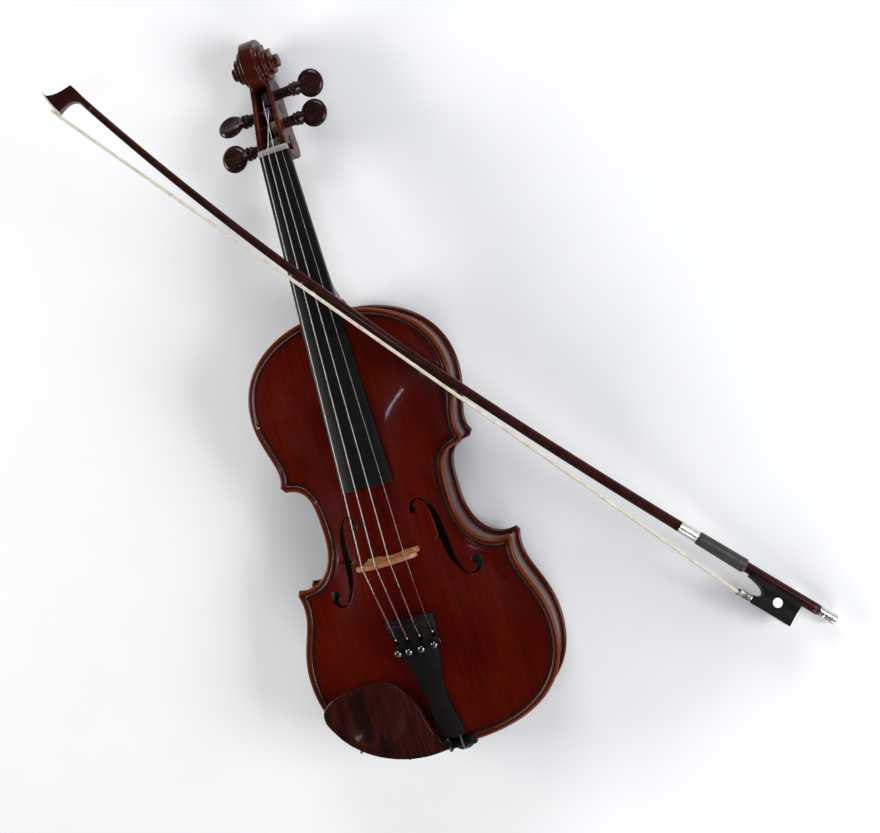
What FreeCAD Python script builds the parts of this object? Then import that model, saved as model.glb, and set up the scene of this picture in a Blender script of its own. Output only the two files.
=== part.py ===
"""Full-size violin lying on its back, with chin rest, built-in string tuners and a bow laid across it.

Frame: +X to the treble side, +Y towards the scroll, +Z up out of the front. The origin is on the
centre line, straight below the bridge, at the lowest point of the arched back. Lengths are in mm.
"""
import FreeCAD
import Part

import os
from math import atan2, cos, degrees, exp, hypot, pi, radians, sin, sqrt

# --- body -------------------------------------------------------------------------------------
BODY_BOTTOM_Y = -161.0        # lower end of the body; the bridge stands at y = 0
BODY_TOP_Y = 195.0            # upper end of the body, 356 from the lower end
UPPER_HALF_WIDTH = 84.0
WAIST_HALF_WIDTH = 54.5
LOWER_HALF_WIDTH = 104.0
BACK_EDGE_Z = 11.0            # underside of the back's flat edge
BACK_JOIN_Z = 15.0            # where the back is glued to the ribs
TOP_JOIN_Z = 46.0             # where the top is glued to the ribs
TOP_EDGE_Z = 50.0
TOP_PEAK_Z = 61.5
PLATE_THICKNESS = 3.0
OVERHANG = 3.0                # plate edge beyond the ribs
RIB_THICKNESS = 1.2
LINING_THICKNESS = 2.0
LINING_HEIGHT = 7.0
ARCH_MID_Y = 17.0
BUTTON_RADIUS = 10.5          # tongue of the back under the neck heel

# --- neck and head ------------------------------------------------------------------------------
BOARD_END_Y = 57.0
NUT_Y = 325.0
NUT_LENGTH = 4.6
NUT_WIDTH = 24.2
BOARD_END_WIDTH = 42.2
BOARD_EDGE = 5.0              # thickness of the fingerboard's side
CROWN_RADIUS = 42.0
NECK_TOP_Z_AT_NUT = 40.4      # glue face between neck and fingerboard
NECK_SLOPE = 0.108            # rise of that face per mm towards the bridge
SCROLL_CENTRE = (396.0, 20.0)  # y, z of the eyes
EYE_RADIUS = 5.2
EYE_HALF_SPAN = 19.6

SADDLE_HALF = 15.6
BUTTON_Z = 31.0               # height of the end button's axis
GUT_Y = -162.2                # where the tail gut loops round the button's neck

# --- fittings -------------------------------------------------------------------------------------
BRIDGE_TOP_Z = 94.9
PEG_TAPER = 1.0 / 30.0
PEG_CLEARANCE = 0.05
STRING_NAMES = ("g", "d", "a", "e")
STRING_RADII = (0.42, 0.40, 0.34, 0.15)
NUT_SPACING = 5.5
BRIDGE_SPACING = 11.7
PEG_POSITIONS = ((333.0, 28.0), (358.7, 22.5), (370.5, 20.5), (347.0, 25.0))  # y, z for g, d, a, e
PEG_SIDES = (-1, -1, 1, 1)
PEG_HEAD_TWIST = (12.0, 42.0, 0.0, -10.0)
PEG_HEAD_REACH = (47.5, 44.5, 49.0, 46.0)
PEG_TIP_REACH = (12.2, 10.2, 9.4, 11.2)   # pegs end flush with the far cheek
TAIL_SLOPE = 0.215            # tailpiece rise per mm towards the bridge
TAIL_TOP_Y = -47.0
TAIL_BOTTOM_Y = -152.0
TAIL_TOP_Z = 80.5             # crest of the tailpiece at its upper end
TUNER_PIVOT_Y = -63.5
SCREW_Y = -72.6

# --- bow ------------------------------------------------------------------------------------------
BOW_BUTTON = (305.2, -146.9, 5.1)
BOW_TIP = (-122.4, 414.6, 99.6)
BOW_ROLL = 18.0
BOW_CAMBER = 17.5
STICK_BUTT_RADIUS = 4.3
STICK_TIP_RADIUS = 2.7
FROG_BACK = 30.0
FROG_LENGTH = 45.5
FROG_HALF_WIDTH = 6.3
HAIR_AT_HEAD = 21.4           # hair height below the line from button to tip
HAIR_IN_FROG = 20.0           # hair height below the stick's centre inside the frog


def vec(*coords):
    return FreeCAD.Vector(*coords)


def bezier(*points):
    curve = Part.BezierCurve()
    curve.setPoles([vec(*p) for p in points])
    return curve.toShape()


def spline(points, closed=False):
    curve = Part.BSplineCurve()
    curve.interpolate(Points=[vec(*p) for p in points], PeriodicFlag=closed)
    return curve.toShape()


def face_of(edges):
    return Part.Face(Part.Wire(Part.__sortEdges__(edges)))


def polygon_face(points):
    return Part.Face(Part.makePolygon([vec(*p) for p in points] + [vec(*points[0])]))


def box(x0, x1, y0, y1, z0, z1):
    return Part.makeBox(x1 - x0, y1 - y0, z1 - z0, vec(x0, y0, z0))


def rod(start, end, radius, end_radius=None):
    """Straight round rod or cone between two points."""
    start, end = vec(*start), vec(*end)
    along = end - start
    if end_radius is None or abs(end_radius - radius) < 1e-6:
        return Part.makeCylinder(radius, along.Length, start, along)
    return Part.makeCone(radius, end_radius, along.Length, start, along)


def fuse(shapes):
    return shapes[0].multiFuse(shapes[1:]).removeSplitter() if len(shapes) > 1 else shapes[0]


def largest(shape):
    """The biggest solid of a shape, without any closed bubble inside it."""
    return Part.Solid(max(shape.Solids, key=lambda solid: solid.Volume).OuterShell)


def mirrored(shape):
    return shape.mirror(vec(0, 0, 0), vec(1, 0, 0))


def turned(points, start, axis):
    """Solid of revolution of a closed (along, radius) outline about an axis."""
    frame = FreeCAD.Rotation(vec(0, 0, 1), vec(*axis))
    face = polygon_face([(r, 0, s) for s, r in points])
    solid = face.revolve(vec(0, 0, 0), vec(0, 0, 1), 360)
    solid.Placement = FreeCAD.Placement(vec(*start), frame)
    return solid


def bead_chain(points, radius):
    """Round cord through the points, with a ball at every bend."""
    pieces = [rod(a, b, radius) for a, b in zip(points, points[1:])]
    pieces += [Part.makeSphere(radius, vec(*p)) for p in points[1:-1]]
    return fuse(pieces)


# --- body outline and arching -------------------------------------------------------------------------
def half_outline(z):
    """Edges of the treble half of the body outline, from the bottom centre to the top centre."""
    low, waist, up = LOWER_HALF_WIDTH, WAIST_HALF_WIDTH, UPPER_HALF_WIDTH
    lower_tip = ((91.5, -13.5, z), (89.0, -9.5, z))
    upper_tip = ((74.5, 68.8, z), (78.0, 73.5, z))
    return [
        bezier((0, BODY_BOTTOM_Y, z), (40, BODY_BOTTOM_Y, z), (low, -150, z), (low, -85, z)),
        bezier((low, -85, z), (low, -52, z), (83.5, -38, z), lower_tip[0]),
        Part.makeLine(vec(*lower_tip[0]), vec(*lower_tip[1])),
        bezier(lower_tip[1], (72, -14.5, z), (waist, 0, z), (waist, 28, z)),
        bezier((waist, 28, z), (waist, 53, z), (55, 67.5, z), upper_tip[0]),
        Part.makeLine(vec(*upper_tip[0]), vec(*upper_tip[1])),
        bezier(upper_tip[1], (69.5, 86, z), (up, 104, z), (up, 128, z)),
        bezier((up, 128, z), (up, 172, z), (44, BODY_TOP_Y, z), (0, BODY_TOP_Y, z)),
    ]


def inset_face(face, inset):
    """The face's edge moved in by a distance (out when negative), redrawn with plain splines."""
    z = face.BoundBox.ZMin
    runs = []
    for edge in face.makeOffset2D(-inset).OuterWire.OrderedEdges:
        points = [vec(p.x, p.y, z) for p in edge.discretize(Number=int(edge.Length / 4) + 4)]
        if edge.Orientation == "Reversed":
            points.reverse()
        if edge.Length > 0.2:
            runs.append(points)
    for before, after in zip(runs, runs[1:] + runs[:1]):
        after[0] = before[-1]
    edges = []
    for points in runs:
        length = sum((b - a).Length for a, b in zip(points, points[1:]))
        straight = (points[-1] - points[0]).Length > 0.9999 * length
        edges.append(Part.makeLine(points[0], points[-1]) if straight else spline(points))
    return face_of(edges)


def outline_face(inset=0.0, z=0.0):
    right = half_outline(z)
    face = face_of(right + [mirrored(e) for e in right])
    return inset_face(face, inset) if inset else face


def outline_prism(inset, z0, z1):
    return outline_face(inset, z0).extrude(vec(0, 0, z1 - z0))


def arch_half_width(y):
    """Half-width that the cross arching spans, smooth past the corners."""
    lower = exp(-((y + 85.0) / 65.0) ** 2) * (LOWER_HALF_WIDTH - WAIST_HALF_WIDTH)
    upper = exp(-((y - 128.0) / 55.0) ** 2) * (UPPER_HALF_WIDTH - WAIST_HALF_WIDTH)
    return WAIST_HALF_WIDTH - 6.0 + lower + upper


def arch(x, y):
    """Arching from 0 at the edge to 1 at the crest."""
    across = min(1.0, abs(x) / arch_half_width(y))
    along = min(1.0, abs(y - ARCH_MID_Y) / 172.0)
    return 0.25 * (1 + cos(pi * across ** 1.6)) * (1 + cos(pi * along ** 3))


def arched_surface(edge_z, peak_z, columns=31, rows=49):
    """Smooth face over the whole body with the arching rising from edge_z to peak_z."""
    grid = []
    for i in range(columns):
        x = -112.0 + 224.0 * i / (columns - 1)
        line = []
        for j in range(rows):
            y = -175.0 + 385.0 * j / (rows - 1)
            line.append(vec(x, y, edge_z + (peak_z - edge_z) * arch(x, y)))
        grid.append(line)
    surface = Part.BSplineSurface()
    surface.interpolate(grid)
    return surface.toShape()


def beyond(edge_z, peak_z, direction):
    """Everything above (+1) or below (-1) an arched surface, as a thick slab."""
    return arched_surface(edge_z, peak_z).extrude(vec(0, 0, 45.0 * direction))


# --- body parts --------------------------------------------------------------------------------------
def block_footprint():
    """Plan areas of the upper, lower and corner blocks, as tall prisms."""
    upper = box(-26, 26, 176, 200, 0, 70)
    lower = box(-26, 26, -170, -142, 0, 70)
    corners = []
    for (x, y), (dx, dy) in (((74, 70), (-22, 13)), ((87, -13), (-24, -9))):
        reach = hypot(dx, dy)
        nx, ny = -dy / reach * 17, dx / reach * 17
        face = polygon_face([(x + 8, y, 0), (x + dx + nx, y + dy + ny, 0),
                             (x + dx - nx, y + dy - ny, 0)])
        solid = face.extrude(vec(0, 0, 70))
        corners += [solid, mirrored(solid)]
    return upper, lower, corners


def f_hole_face(z):
    """Treble f-hole: an S-shaped stem with a round eye at each end and two nicks."""
    middle = [(24.8, 31.0), (25.3, 33.2), (27.6, 36.2), (31.0, 37.2), (34.8, 34.4), (38.0, 28.2),
              (39.8, 19.7), (40.7, 11.4), (41.4, 3.3), (42.3, -5.8), (43.9, -14.6), (46.6, -22.4),
              (50.0, -28.0), (54.0, -30.8), (58.0, -30.2), (61.0, -27.6), (62.4, -24.0)]
    widths = [1.6, 1.4, 1.0, 0.6, 0.9, 1.7, 2.3, 2.7, 3.0, 2.9, 2.3, 1.5, 0.8, 0.6, 1.2, 2.2, 2.7]
    left, right = [], []
    middle = [(x - 0.7, y) for x, y in middle]
    for i, ((x, y), w) in enumerate(zip(middle, widths)):
        (ax, ay), (bx, by) = middle[max(i - 1, 0)], middle[min(i + 1, len(middle) - 1)]
        length = hypot(bx - ax, by - ay)
        nx, ny = -(by - ay) / length, (bx - ax) / length
        left.append((x + nx * w, y + ny * w, z))
        right.append((x - nx * w, y - ny * w, z))
    stem = face_of([spline(left), spline(right), Part.makeLine(vec(*left[0]), vec(*right[0])),
                    Part.makeLine(vec(*left[-1]), vec(*right[-1]))])
    eyes = [Part.Face(Part.Wire(Part.makeCircle(r, vec(x, y, z))))
            for x, y, r in ((24.5, 29.4, 2.8), (60.3, -21.4, 4.2))]
    nicks = [polygon_face([(40.7 + s * 4.6, 3.3 + s, z), (40.7 + s * 2.4, 4.8 + s, z), (40.7 + s * 2.4, 1.8 + s, z)])
             for s in (-1, 1)]
    return [stem] + eyes + nicks


def f_hole_cutters():
    solids = [face.extrude(vec(0, 0, 30)) for face in f_hole_face(40.0)]
    return solids + [mirrored(s) for s in solids]


def make_plates(neck, saddle_seat):
    """Top, back and the purfling let into both."""
    upper, lower, corners = block_footprint()
    solid_areas = [upper, lower] + corners
    top = outline_prism(0, TOP_JOIN_Z, 70).cut(beyond(TOP_EDGE_Z, TOP_PEAK_Z, 1))
    hollow = outline_prism(8, TOP_JOIN_Z - 1, 70).cut(
        [beyond(TOP_EDGE_Z - PLATE_THICKNESS, TOP_PEAK_Z - PLATE_THICKNESS, 1)] + solid_areas)
    button = Part.makeCylinder(BUTTON_RADIUS, BACK_JOIN_Z + 5, vec(0, BODY_TOP_Y + 1, -5))
    back = outline_prism(0, -5, BACK_JOIN_Z).fuse(button).removeSplitter().cut(
        beyond(BACK_EDGE_Z, 0.0, -1))
    back_hollow = outline_prism(8, -5, BACK_JOIN_Z + 1).cut(
        [beyond(BACK_EDGE_Z + PLATE_THICKNESS, PLATE_THICKNESS, -1)] + solid_areas)
    back = back.cut(back_hollow)
    top = top.cut([hollow, neck, saddle_seat] + f_hole_cutters())
    ring = outline_prism(4.0, -5, 70).cut(outline_prism(5.3, -6, 71))
    strips = [ring.common(box(-120, 120, -170, 200, TOP_EDGE_Z - 1.4, 70)).common(top),
              ring.common(box(-120, 120, -170, 200, -5, BACK_EDGE_Z + 1.4)).common(back)]
    purfling = [s for strip in strips for s in strip.Solids if s.Volume > 50]
    return largest(top.cut(strips[0])), largest(back.cut(strips[1])), Part.Compound(purfling)


def make_ribs(neck):
    """Six ribs between top and back, mitred at the corners and cut for the neck at the top."""
    ring = outline_prism(OVERHANG, BACK_JOIN_Z, TOP_JOIN_Z).cut(
        outline_prism(OVERHANG + RIB_THICKNESS, 0, 70)).cut(neck)
    upper_out, upper_in = (94, 61), (40, 89)
    lower_out, lower_in = (110, -5), (40, -29)
    areas = {
        "upper": [upper_out, upper_in, (0, 89), (0, 220), (130, 220), (130, 61)],
        "centre": [upper_out, upper_in, lower_in, lower_out],
        "lower": [lower_out, lower_in, (0, -29), (0, -190), (140, -190), (140, -5)],
    }
    ribs = {}
    for name, points in areas.items():
        area = polygon_face([(x, y, 0) for x, y in points]).extrude(vec(0, 0, 70))
        rib = ring.common(area)
        ribs["rib_" + name + "_treble"] = rib
        ribs["rib_" + name + "_bass"] = mirrored(rib)
    return ribs


def pin_hole():
    return rod((0, -180, BUTTON_Z), (0, -100, BUTTON_Z), 3.8)


def make_blocks_and_linings(neck):
    inside = outline_prism(OVERHANG + RIB_THICKNESS, BACK_JOIN_Z, TOP_JOIN_Z)
    upper, lower, corners = block_footprint()
    upper_block = inside.common(upper).cut(neck)
    lower_block = inside.common(lower).cut(pin_hole())
    corner_blocks = Part.Compound([inside.common(c) for c in corners])
    core = outline_prism(OVERHANG + RIB_THICKNESS + LINING_THICKNESS, 0, 70)
    band = inside.cut(core).cut([upper, lower] + corners)
    slabs = [box(-120, 120, -170, 200, BACK_JOIN_Z, BACK_JOIN_Z + LINING_HEIGHT),
             box(-120, 120, -170, 200, TOP_JOIN_Z - LINING_HEIGHT, TOP_JOIN_Z)]
    linings = Part.Compound([s for slab in slabs for s in band.common(slab).Solids])
    return upper_block, lower_block, corner_blocks, linings


def make_bar_and_post():
    """Bass bar under the g string and the sound post behind the treble foot."""
    under_top = beyond(TOP_EDGE_Z - PLATE_THICKNESS, TOP_PEAK_Z - PLATE_THICKNESS, 1)
    bar = face_of([bezier((-15, -120, 56), (-15, -60, 44), (-15, 70, 44), (-15, 148, 56)),
                   Part.makeLine(vec(-15, 148, 56), vec(-15, 148, 70)),
                   Part.makeLine(vec(-15, 148, 70), vec(-15, -120, 70)),
                   Part.makeLine(vec(-15, -120, 70), vec(-15, -120, 56))])
    bar = bar.extrude(vec(-5.5, 0, 0)).cut(under_top)
    post = rod((19, -6, -5), (19, -6, 70), 3.0).cut(
        [under_top, beyond(BACK_EDGE_Z + PLATE_THICKNESS, PLATE_THICKNESS, -1)])
    return bar, post


# --- neck, fingerboard, nut, saddle ------------------------------------------------------------------------
def glue_z(y):
    """Height of the face between neck and fingerboard."""
    return NECK_TOP_Z_AT_NUT + NECK_SLOPE * (NUT_Y - y)


def board_width(y):
    return NUT_WIDTH + (BOARD_END_WIDTH - NUT_WIDTH) * (NUT_Y - y) / (NUT_Y - BOARD_END_Y)


def neck_section(y):
    """D-shaped slice of the neck; slices near the body are the tall, squarer heel."""
    heel = 24.5 * exp(-(max(y, 206.0) - 206.0) / 7.0)
    depth = glue_z(y) - BACK_JOIN_Z if y < 206 else 14.2 - 1.2 * (y - 206) / 119 + heel
    square = 1.0 - 0.5 * heel / 24.5
    half = board_width(y) / 2 - 0.6
    points = []
    for i in range(13):
        a = pi * i / 12
        drop = abs(sin(a)) ** square
        side = abs(cos(a)) ** square * (1 if cos(a) >= 0 else -1)
        points.append((half * side * (1 - 0.34 * drop * heel / 24.5), y, glue_z(y) - depth * drop))
    return Part.Wire([spline(points), Part.makeLine(vec(*points[-1]), vec(*points[0]))])


def spiral_face(x, start_turn, turns, first_radius, shrink):
    """Side outline of one turn of the scroll."""
    cy, cz = SCROLL_CENTRE
    points = []
    steps = 28
    for i in range(steps + 1):
        a = 2 * pi * (start_turn + turns * i / steps)
        r = first_radius * exp(-shrink * i / steps)
        points.append((x, cy + r * cos(a), cz + r * sin(a)))
    return face_of([spline(points), Part.makeLine(vec(*points[-1]), vec(*points[0]))])


def make_scroll():
    """Stepped volute: each inner turn stands wider than the one outside it."""
    cy, cz = SCROLL_CENTRE
    pieces = []
    for half, first, turns, shrink in ((6.0, 21.5, 1.0, 0.27), (10.4, 16.0, 1.0, 0.34),
                                       (15.0, 11.2, 1.0, 0.40)):
        face = spiral_face(-half, -0.02, turns, first, shrink)
        pieces.append(face.extrude(vec(2 * half, 0, 0)))
    pieces.append(rod((-EYE_HALF_SPAN, cy, cz), (EYE_HALF_SPAN, cy, cz), EYE_RADIUS))
    back = face_of([bezier((-6.0, 417.5, 18.5), (-6.0, 417.5, 8), (-6.0, 408, 1.4), (-6.0, 394, 1.4)),
                    bezier((-6.0, 394, 1.4), (-6.0, 384, 1.4), (-6.0, 380, 4), (-6.0, 374, 7.5)),
                    Part.makeLine(vec(-6.0, 374, 7.5), vec(-6.0, 384, 24)),
                    Part.makeLine(vec(-6.0, 384, 24), vec(-6.0, 417.5, 18.5))])
    pieces.append(back.extrude(vec(12.0, 0, 0)))
    return pieces


def pegbox_solids():
    """Tapered box behind the nut, and the slot to be cut from its front."""
    def prism(edges_at, half_low, half_high):
        low, high = edges_at(-half_low), edges_at(half_high)
        return Part.makeLoft([low, high], True, True)

    def side_wire(x, scale_points):
        edges = [bezier(*[(x * taper(y), y, z) for y, z in span]) for span in scale_points]
        return Part.Wire(Part.__sortEdges__(edges))

    def taper(y):
        return 1.0 - 0.34 * (y - 325.0) / 60.0

    front = ((325.0, 45.2), (340.0, 42.5), (352.0, 36.5), (366.0, 31.5))
    cheek = ((366.0, 31.5), (376.0, 28.5), (384.0, 27.0), (388.0, 26.0))
    end = ((388.0, 26.0), (388.5, 18.0), (386.0, 8.0), (380.0, 4.0))
    back = ((380.0, 4.0), (360.0, 6.0), (346.0, 13.5), (330.0, 13.5))
    chin = ((330.0, 13.5), (321.0, 13.5), (317.0, 20.0), (318.0, 28.0))
    heel = ((318.0, 28.0), (319.0, 32.0), (320.0, 36.0), (321.0, glue_z(321.0)))
    shelf = ((321.0, glue_z(321.0)), (322.5, glue_z(322.5)), (324.0, glue_z(324.0)),
             (325.0, glue_z(325.0)))
    step = ((325.0, glue_z(325.0)), (325.0, 42.0), (325.0, 44.0), (325.0, 45.2))
    spans = (front, cheek, end, back, chin, heel, shelf, step)
    outer = prism(lambda x: side_wire(x, spans), 12.4, 12.4)
    slot_front = ((330.0, 60.0), (346.0, 60.0), (362.0, 60.0), (379.0, 60.0))
    slot_end = ((379.0, 60.0), (379.0, 45.0), (381.0, 24.0), (376.0, 15.0))
    slot_floor = ((376.0, 15.0), (362.0, 13.0), (346.0, 19.5), (330.0, 21.0))
    slot_near = ((330.0, 21.0), (330.0, 30.0), (330.0, 45.0), (330.0, 60.0))
    inner = prism(lambda x: side_wire(x, (slot_front, slot_end, slot_floor, slot_near)), 7.9, 7.9)
    return outer, inner


def make_neck():
    """Heel, handle, pegbox and scroll in one piece, with the four tapered peg holes."""
    root = Part.makeLoft([neck_section(y) for y in (189, 206)], True, True)
    heel = Part.makeLoft([neck_section(206 + 4 * k) for k in range(9)], True, False)
    handle = Part.makeLoft([neck_section(y) for y in (238, 325)], True, True)
    outer, slot = pegbox_solids()
    neck = fuse([root, heel, handle, outer] + make_scroll()).cut(slot)
    scoop = Part.makeCylinder(9.0, 11.0, vec(-5.5, 379.0, 34.5), vec(1, 0, 0))
    neck = neck.cut(scoop.common(box(-20, 20, 366, 379, 20, 60)))
    y, z = PEG_POSITIONS[0]
    holes = [rod((-6.4, y, z), (6.4, y, z), 5.6)]
    for (y, z), side in zip(PEG_POSITIONS, PEG_SIDES):
        holes.append(rod((-side * 20, y, z), (side * 20, y, z),
                         peg_radius(-20) + PEG_CLEARANCE, peg_radius(20) + PEG_CLEARANCE))
    return neck.cut(holes)


def crown_section(y, base, top_edge, width):
    """Closed section with a flat base, straight sides and a crowned top."""
    half = width / 2
    rise = CROWN_RADIUS - sqrt(CROWN_RADIUS ** 2 - half ** 2)
    a, b = vec(-half, y, base), vec(half, y, base)
    c, d = vec(half, y, top_edge), vec(-half, y, top_edge)
    arc = Part.Arc(c, vec(0, y, top_edge + rise), d).toShape()
    return Part.Wire([Part.makeLine(a, b), Part.makeLine(b, c), arc, Part.makeLine(d, a)])


def make_fingerboard():
    ends = [crown_section(y, glue_z(y), glue_z(y) + BOARD_EDGE, board_width(y))
            for y in (BOARD_END_Y, NUT_Y)]
    board = Part.makeLoft(ends, True, True)
    scoop_start = (0, BOARD_END_Y - 1, glue_z(BOARD_END_Y - 1) - 18.5)
    scoop_end = (0, 188.0, glue_z(188.0) - 21.5)
    return board.cut(rod(scoop_start, scoop_end, 23.0))


def string_height_at_nut(x):
    top = glue_z(NUT_Y) + BOARD_EDGE + 1.0
    half = NUT_WIDTH / 2
    crest = top + CROWN_RADIUS - sqrt(CROWN_RADIUS ** 2 - half ** 2)
    return crest - (CROWN_RADIUS - sqrt(CROWN_RADIUS ** 2 - x ** 2))


def make_nut(strings):
    y0, y1 = NUT_Y, NUT_Y + NUT_LENGTH
    base = glue_z(NUT_Y)
    ends = [crown_section(y, base, base + BOARD_EDGE + 1.0 - drop, NUT_WIDTH)
            for y, drop in ((y0, 0.0), (y1 - 2.0, 0.2), (y1, 1.6))]
    nut = Part.makeLoft(ends, True, True)
    seat = box(-30, 30, y0, y1 + 1, 20, 45.2)
    return nut.cut(strings), seat


def make_saddle():
    """Ebony edge under the tail gut, let into the lower end of the top."""
    profile = [(-154.6, TOP_JOIN_Z), (-154.6, 52.0), (-156.5, 54.2), (-159.0, 55.0), (-161.5, 54.4),
               (-162.4, 52.5), (-162.4, TOP_JOIN_Z)]
    full = polygon_face([(-SADDLE_HALF, y, z) for y, z in profile]).extrude(vec(2 * SADDLE_HALF, 0, 0))
    ends = [polygon_face([(side * 16, -140, 50.5), (side * 16, -140, 56), (side * 12, -140, 56)]).extrude(
        vec(0, -40, 0)) for side in (-1, 1)]
    seat = box(-SADDLE_HALF, SADDLE_HALF, -170, -154.6, TOP_JOIN_Z - 1, 70)
    return full.cut(ends), seat


# --- bridge -----------------------------------------------------------------------------------------
def string_height_at_bridge(x):
    """The bridge is lower on the e side than on the g side."""
    return BRIDGE_TOP_Z - (CROWN_RADIUS - sqrt(CROWN_RADIUS ** 2 - x ** 2)) - 0.035 * (x + 5.85)


def make_bridge(strings):
    """Two-footed bridge with heart and side cut-outs, thinning towards the top."""
    foot_z = 57.0
    top = [(x, string_height_at_bridge(x) - 0.3) for x in (-20.5, -12, -4, 4, 12, 20.5)]
    right = [(24.6, 85.0), (25.0, 82.0), (22.0, 80.2), (16.0, 80.6), (13.4, 77.6), (15.2, 74.6),
             (20.5, 74.0), (19.6, 70.5), (16.4, 66.5), (18.4, 63.6), (21.2, 62.6), (21.2, foot_z)]
    arch_points = [(9.2, foot_z), (9.4, 63.0), (7.2, 67.6), (0, 69.4)]
    left_arch = [(-x, z) for x, z in reversed(arch_points[:-1])]
    left = [(-x, z) for x, z in reversed(right)]
    outline = top + right + arch_points + left_arch + left
    plate = polygon_face([(x, -2.1, z) for x, z in outline]).extrude(vec(0, 4.2, 0))
    heart = fuse([rod((s * 2.3, -5, 78.6), (s * 2.3, 5, 78.6), 2.4) for s in (-1, 1)]
                 + [polygon_face([(-4.4, -5, 77.4), (4.4, -5, 77.4), (0, -5, 73.4)]).extrude(
                     vec(0, 10, 0))])
    wedge = [polygon_face([(-30, 2.1, 64), (-30, 0.7, 97), (-30, 9, 97), (-30, 9, 64)]).extrude(
        vec(60, 0, 0))]
    under = beyond(TOP_EDGE_Z, TOP_PEAK_Z, -1)
    return largest(plate.cut([heart, under] + wedge + strings))


# --- tailpiece end ---------------------------------------------------------------------------------
def tail_crest(y):
    """Height of the tailpiece's crest line."""
    return TAIL_TOP_Z - TAIL_SLOPE * (TAIL_TOP_Y - y)


def tail_cylinder(radius, drop):
    """Long round bar along the tailpiece, its crest below the crest line by drop."""
    start = (0, TAIL_TOP_Y + 20, tail_crest(TAIL_TOP_Y + 20) - drop - radius)
    end = (0, TAIL_BOTTOM_Y - 20, tail_crest(TAIL_BOTTOM_Y - 20) - drop - radius)
    return rod(start, end, radius)


def tail_outline():
    right = [bezier((0, TAIL_TOP_Y - 0.6, 30), (8, TAIL_TOP_Y - 0.4, 30), (14, TAIL_TOP_Y - 0.8, 30),
                    (20.0, TAIL_TOP_Y - 1.8, 30)),
             bezier((20.0, TAIL_TOP_Y - 1.8, 30), (17.5, -78, 30), (9.0, -92, 30), (8.2, -116, 30)),
             bezier((8.2, -116, 30), (8.0, -128, 30), (10.2, -140, 30), (11.0, TAIL_BOTTOM_Y + 3, 30)),
             bezier((11.0, TAIL_BOTTOM_Y + 3, 30), (10.6, TAIL_BOTTOM_Y, 30),
                    (5, TAIL_BOTTOM_Y, 30), (0, TAIL_BOTTOM_Y, 30))]
    return face_of(right + [mirrored(e) for e in right])


def tuner_x(i):
    """Sideways place of a string's tuner in the tailpiece."""
    return (-15.2, -5.2, 5.0, 14.8)[i]


def make_tailpiece(strings):
    """Crowned tailpiece with a string fret, four tuner slots and a hollow underside."""
    body = tail_outline().extrude(vec(0, 0, 60)).common(tail_cylinder(34.0, 0.0))
    body = body.cut(tail_cylinder(30.0, 5.0).common(box(-30, 30, -140, -40, 0, 90)))
    fret = tail_cylinder(34.9, -0.9).cut(tail_cylinder(33.0, 0.0))
    fret = fret.common(tail_outline().extrude(vec(0, 0, 60))).common(
        box(-19.6, 19.6, TAIL_TOP_Y - 6.5, TAIL_TOP_Y - 4.6, 0, 100))
    tailpiece = body.fuse(fret).removeSplitter()
    slots, screws = [], []
    for i in range(4):
        x = tuner_x(i)
        slots.append(box(x - 1.7, x + 1.7, -67.5, -56.0, 40, 100))
        slots.append(box(x - 1.7, x + 1.7, -78.0, -66.0, 40, tuner_level(i) - 5.3))
        screws.append(rod((x, SCREW_Y, 40), (x, SCREW_Y, 100), 1.55))
    under = box(-40, 40, -160, -40, 0, 53.0)
    gut_holes = [rod((s * 5.5, -130, 54.8), (s * 5.5, -160, 56.2), 1.25) for s in (-1, 1)]
    return tailpiece.cut(slots + screws + gut_holes + [under] + strings)


def tail_gut_path(side):
    return [(side * 5.5, -139, 55.2), (side * 5.5, -158.4, 56.1), (side * 5.5, -163.0, 54.8),
            (side * 6.3, -164.2, 50.0), (side * 6.3, GUT_Y, BUTTON_Z + 8), (side * 6.3, GUT_Y, BUTTON_Z)]


def make_tail_gut():
    """Loop of cord from the tailpiece over the saddle and round the end button."""
    sides = [bead_chain(tail_gut_path(s), 1.0) for s in (-1, 1)]
    loop = Part.makeTorus(6.3, 1.0, vec(0, GUT_Y, BUTTON_Z), vec(0, 1, 0)).common(
        box(-10, 10, -170, -160, 20, BUTTON_Z))
    return fuse(sides + [loop])


def make_end_button():
    outline = [(0, 0), (0, 3.6), (19.0, 3.75), (19.0, 6.2), (20.6, 6.2), (21.4, 5.2), (24.4, 5.2),
               (25.4, 7.2), (28.6, 7.2), (30.4, 5.6), (31.2, 2.6), (31.4, 0)]
    return turned(outline, (0, -139.0, BUTTON_Z), (0, -1, 0))


# --- chin rest ---------------------------------------------------------------------------------------
def chin_outline(z, inset=0.0):
    edges = [bezier((-96.5, -110, z), (-94, -99, z), (-72, -93.8, z), (-46, -93.8, z)),
             bezier((-46, -93.8, z), (-28, -93.8, z), (-19.0, -112, z), (-15.6, -132, z)),
             bezier((-15.6, -132, z), (-13.7, -143, z), (-12, -148, z), (-4.4, -151.6, z)),
             bezier((-4.4, -151.6, z), (0.5, -154, z), (-1.6, -159.4, z), (-7, -160.2, z)),
             bezier((-7, -160.2, z), (-42, -165.4, z), (-76, -149, z), (-90, -127.5, z)),
             bezier((-90, -127.5, z), (-94, -121.4, z), (-98.1, -117, z), (-96.5, -110, z))]
    face = face_of(edges)
    return inset_face(face, inset) if inset else face


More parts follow.
